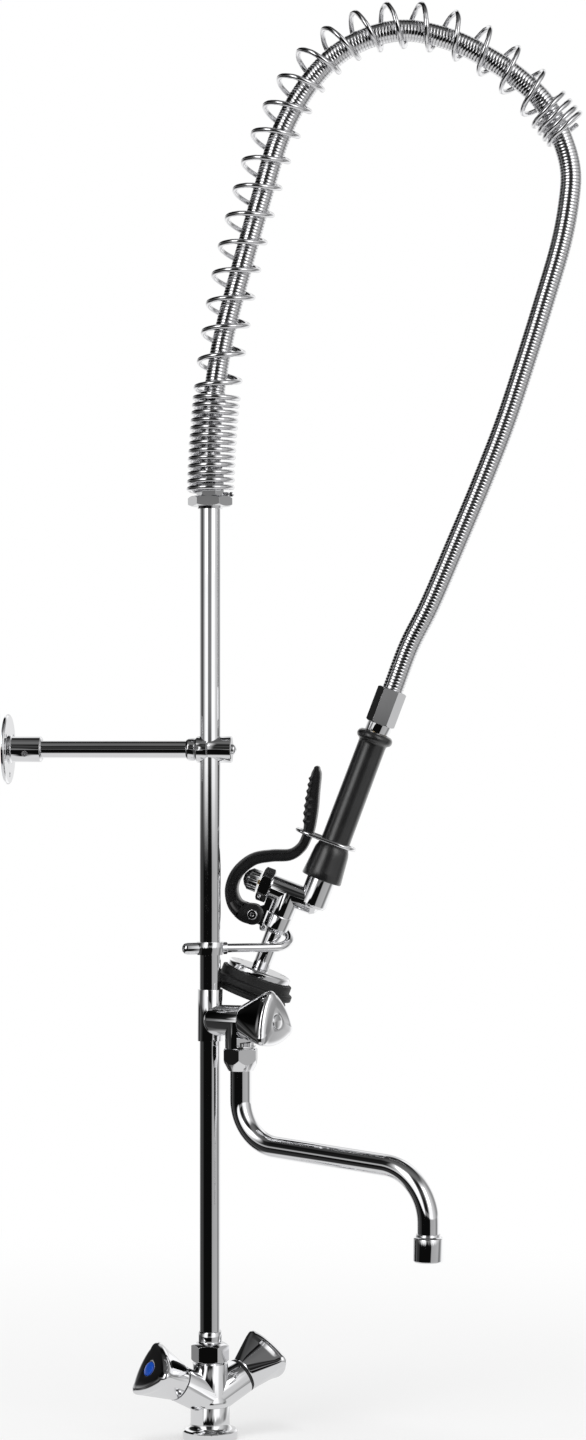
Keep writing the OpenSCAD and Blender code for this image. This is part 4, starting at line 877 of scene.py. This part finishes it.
def make_camera(scene):
    """The camera that took the photograph."""
    data = bpy.data.cameras.new("photo_camera")
    camera = bpy.data.objects.new("photo_camera", data)
    scene.collection.objects.link(camera)
    camera.location = VIEW_AIM + VIEW_DISTANCE * Vector((math.sin(VIEW_TURN), -math.cos(VIEW_TURN), 0))
    camera.rotation_euler = (math.pi / 2, 0, VIEW_TURN)
    data.sensor_fit = "VERTICAL"
    data.sensor_height = 24
    data.lens = data.sensor_height / 2 / math.tan(VIEW_ANGLE / 2)
    data.clip_end = 100
    scene.camera = camera


def make_floor(scene):
    """A white floor that keeps the shadow; mirrors see a pale patch of it near the object and the studio beyond."""
    half, level = 30.0, -0.0005
    white, patch = 0.86, 0.72
    points = [(x * half, y * half, level) for x, y in ((-1, -1), (1, -1), (1, 1), (-1, 1))]
    mesh = bpy.data.meshes.new("studio_floor")
    mesh.from_pydata(points, [], [(0, 1, 2, 3)])
    floor = bpy.data.objects.new("studio_floor", mesh)
    scene.collection.objects.link(floor)
    material = bpy.data.materials.new("pale_floor")
    material.use_nodes = True
    tree = Tree(material.node_tree)
    rays = tree.add("ShaderNodeLightPath")
    place = tree.add("ShaderNodeTexCoord", output="Object")
    away = tree.add("ShaderNodeVectorMath", {"operation": "LENGTH"}, {0: place}, "Value")

    def blend(factor, first, second):
        return tree.add("ShaderNodeMixShader", inputs={"Fac": factor, 1: first, 2: second})

    def glow(grey):
        return tree.add("ShaderNodeEmission", inputs={"Color": (grey, grey, grey, 1)})

    matt = tree.add("ShaderNodeBsdfDiffuse", inputs={"Color": (white, white, white, 1)})
    seen = blend(away.step(0.1, 1.2) * 0.5 + 0.5, matt, glow(1.0))
    plain = blend(rays.output("Is Camera Ray"), matt, seen)
    mirrored = blend(away.step(0.16, 0.26), glow(patch), tree.add("ShaderNodeBsdfTransparent"))
    tree.add("ShaderNodeOutputMaterial", inputs={"Surface": blend(rays.output("Is Glossy Ray"), plain, mirrored)})
    mesh.materials.append(material)


# Brightness of the studio by degrees to the right of the camera: softboxes on both sides, black flags in front,
# and the white sweep behind the object
STUDIO_ABOVE = [(-180, 0.72), (-172, 1.1), (-150, 1.0), (-143, 0.8), (-119, 0.38), (-101, 0.03), (-88, 0.09),
                (-76, 0.2), (-62, 0.62), (-50, 1.15), (-27, 1.15), (-18, 0.02), (9, 0.008), (14, 0.3), (26, 1.15),
                (50, 1.15), (62, 0.72), (81, 0.6), (93, 0.42), (119, 0.25), (138, 0.7), (152, 1.1), (162, 1.1),
                (167, 0.72), (180, 0.72)]
STUDIO_BELOW = [(-180, 0.72), (-172, 1.1), (-155, 0.95), (-144, 0.6), (-124, 0.02), (-110, 0.02), (-100, 0.12),
                (-94, 0.04), (-74, 0.03), (-70, 0.004), (19, 0.004), (25, 0.42), (80, 0.48), (90, 0.22),
                (103, 0.25), (120, 0.8), (132, 1.05), (162, 1.1), (167, 0.72), (180, 0.72)]
# A flag above the object's left, which darkens the faces that lean that way
LEFT_FLAG = [(-180, 0), (-162, 0), (-148, 0.97), (-64, 0.97), (-54, 0), (180, 0)]
# What the black front gives off in a strip at the horizon, and from 14 degrees up
FRONT_GLOW = 0.2


def make_world(scene):
    """White where the camera sees it, a plain level for matt surfaces, and the studio in every mirror."""
    straight_down, matt_share, matt_level = 0.74, 0.25, 0.62
    world = bpy.data.worlds.new("studio")
    scene.world = world
    world.use_nodes = True
    tree = Tree(world.node_tree)
    rays = tree.add("ShaderNodeLightPath")
    direction = tree.add("ShaderNodeSeparateXYZ", inputs={0: tree.add("ShaderNodeTexCoord", output="Generated")})
    x, y, z = (direction.output(axis) for axis in "XYZ")
    ahead = x * math.sin(VIEW_TURN) - y * math.cos(VIEW_TURN)
    side = x * math.cos(VIEW_TURN) + y * math.sin(VIEW_TURN)
    around = side.maths("ARCTAN2", ahead) * (0.5 / math.pi) + 0.5
    height = z.maths("ARCSINE") * math.degrees(1)
    above, below, flag = (around.ramp(*[(a / 360 + 0.5, (v, v, v)) for a, v in stops])
                          for stops in (STUDIO_ABOVE, STUDIO_BELOW, LEFT_FLAG))
    raised = above * (1.0 - height.step(6, 15) * flag)
    front = ahead.step(0.80, 0.97)
    strip = height.step(-1.2, 0.6) * (1.0 - height.step(3.2, 5.5)) * front * FRONT_GLOW
    rising = height.step(14, 42) * front * FRONT_GLOW
    ceiling = ahead.mapped(-0.35, 0.35, 0.005, 0.16)
    walls = height.step(-2.6, -0.4).between(below, raised + strip + rising)
    upper = height.step(42, 58).between(walls, ceiling)
    studio = height.step(-56, -42).between(straight_down, upper)
    plain = studio * matt_share + matt_level
    level = rays.output("Is Diffuse Ray").between(studio, plain)
    level = rays.output("Is Camera Ray").between(level, 1.0)
    sky = tree.add("ShaderNodeBackground", inputs={"Color": level, "Strength": 1.0})
    tree.add("ShaderNodeOutputWorld", inputs={"Surface": sky})


# Each lamp: degrees to the right of the camera, degrees up, distance, width, height, power, and seen in mirrors
LAMPS = {
    "soft_left": (-38, 22, 2.4, 0.9, 1.3, 5.0, True),
    "soft_right": (38, 22, 2.4, 0.9, 1.3, 4.0, True),
    "soft_top": (-20, 68, 2.6, 1.1, 1.1, 26.0, False),
}


def make_lamps(scene):
    """Soft lamps round the object, all turned to its middle."""
    aim = Vector((0.07, 0, 0.55))
    for name, (azimuth, up, away, wide, tall, power, mirrored) in LAMPS.items():
        data = bpy.data.lights.new(name, "AREA")
        data.shape = "RECTANGLE"
        data.size, data.size_y = wide, tall
        data.energy = power
        lamp = bpy.data.objects.new(name, data)
        lamp.visible_glossy = mirrored
        scene.collection.objects.link(lamp)
        a, e = math.radians(azimuth) + VIEW_TURN, math.radians(up)
        lamp.location = aim + away * Vector((math.sin(a) * math.cos(e), -math.cos(a) * math.cos(e), math.sin(e)))
        lamp.rotation_euler = (aim - lamp.location).to_track_quat("-Z", "Y").to_euler()


class FAUCET_PT_panel(bpy.types.Panel):
    """Everything that dresses the faucet"""
    bl_label = "Faucet"
    bl_idname = "FAUCET_PT_panel"
    bl_space_type = "VIEW_3D"
    bl_region_type = "UI"
    bl_category = "Faucet"

    def draw(self, context):
        for operator in OPERATORS:
            self.layout.operator(operator.bl_idname)
        for name in FaucetSettings.__annotations__:
            self.layout.prop(context.scene.faucet, name)


OPERATORS = (FAUCET_OT_stage, FAUCET_OT_hose, FAUCET_OT_finishes, FAUCET_OT_spring, FAUCET_OT_handles,
             FAUCET_OT_spout, FAUCET_OT_gun)
CLASSES = (FaucetSettings, *OPERATORS, FAUCET_PT_panel)


def register():
    for cls in CLASSES:
        bpy.utils.register_class(cls)
    bpy.types.Scene.faucet = bpy.props.PointerProperty(type=FaucetSettings)


def unregister():
    del bpy.types.Scene.faucet
    for cls in reversed(CLASSES):
        bpy.utils.unregister_class(cls)


def main():
    register()
    for operator in OPERATORS:
        group, name = operator.bl_idname.split(".")
        getattr(getattr(bpy.ops, group), name)()


if __name__ == "__main__":
    main()
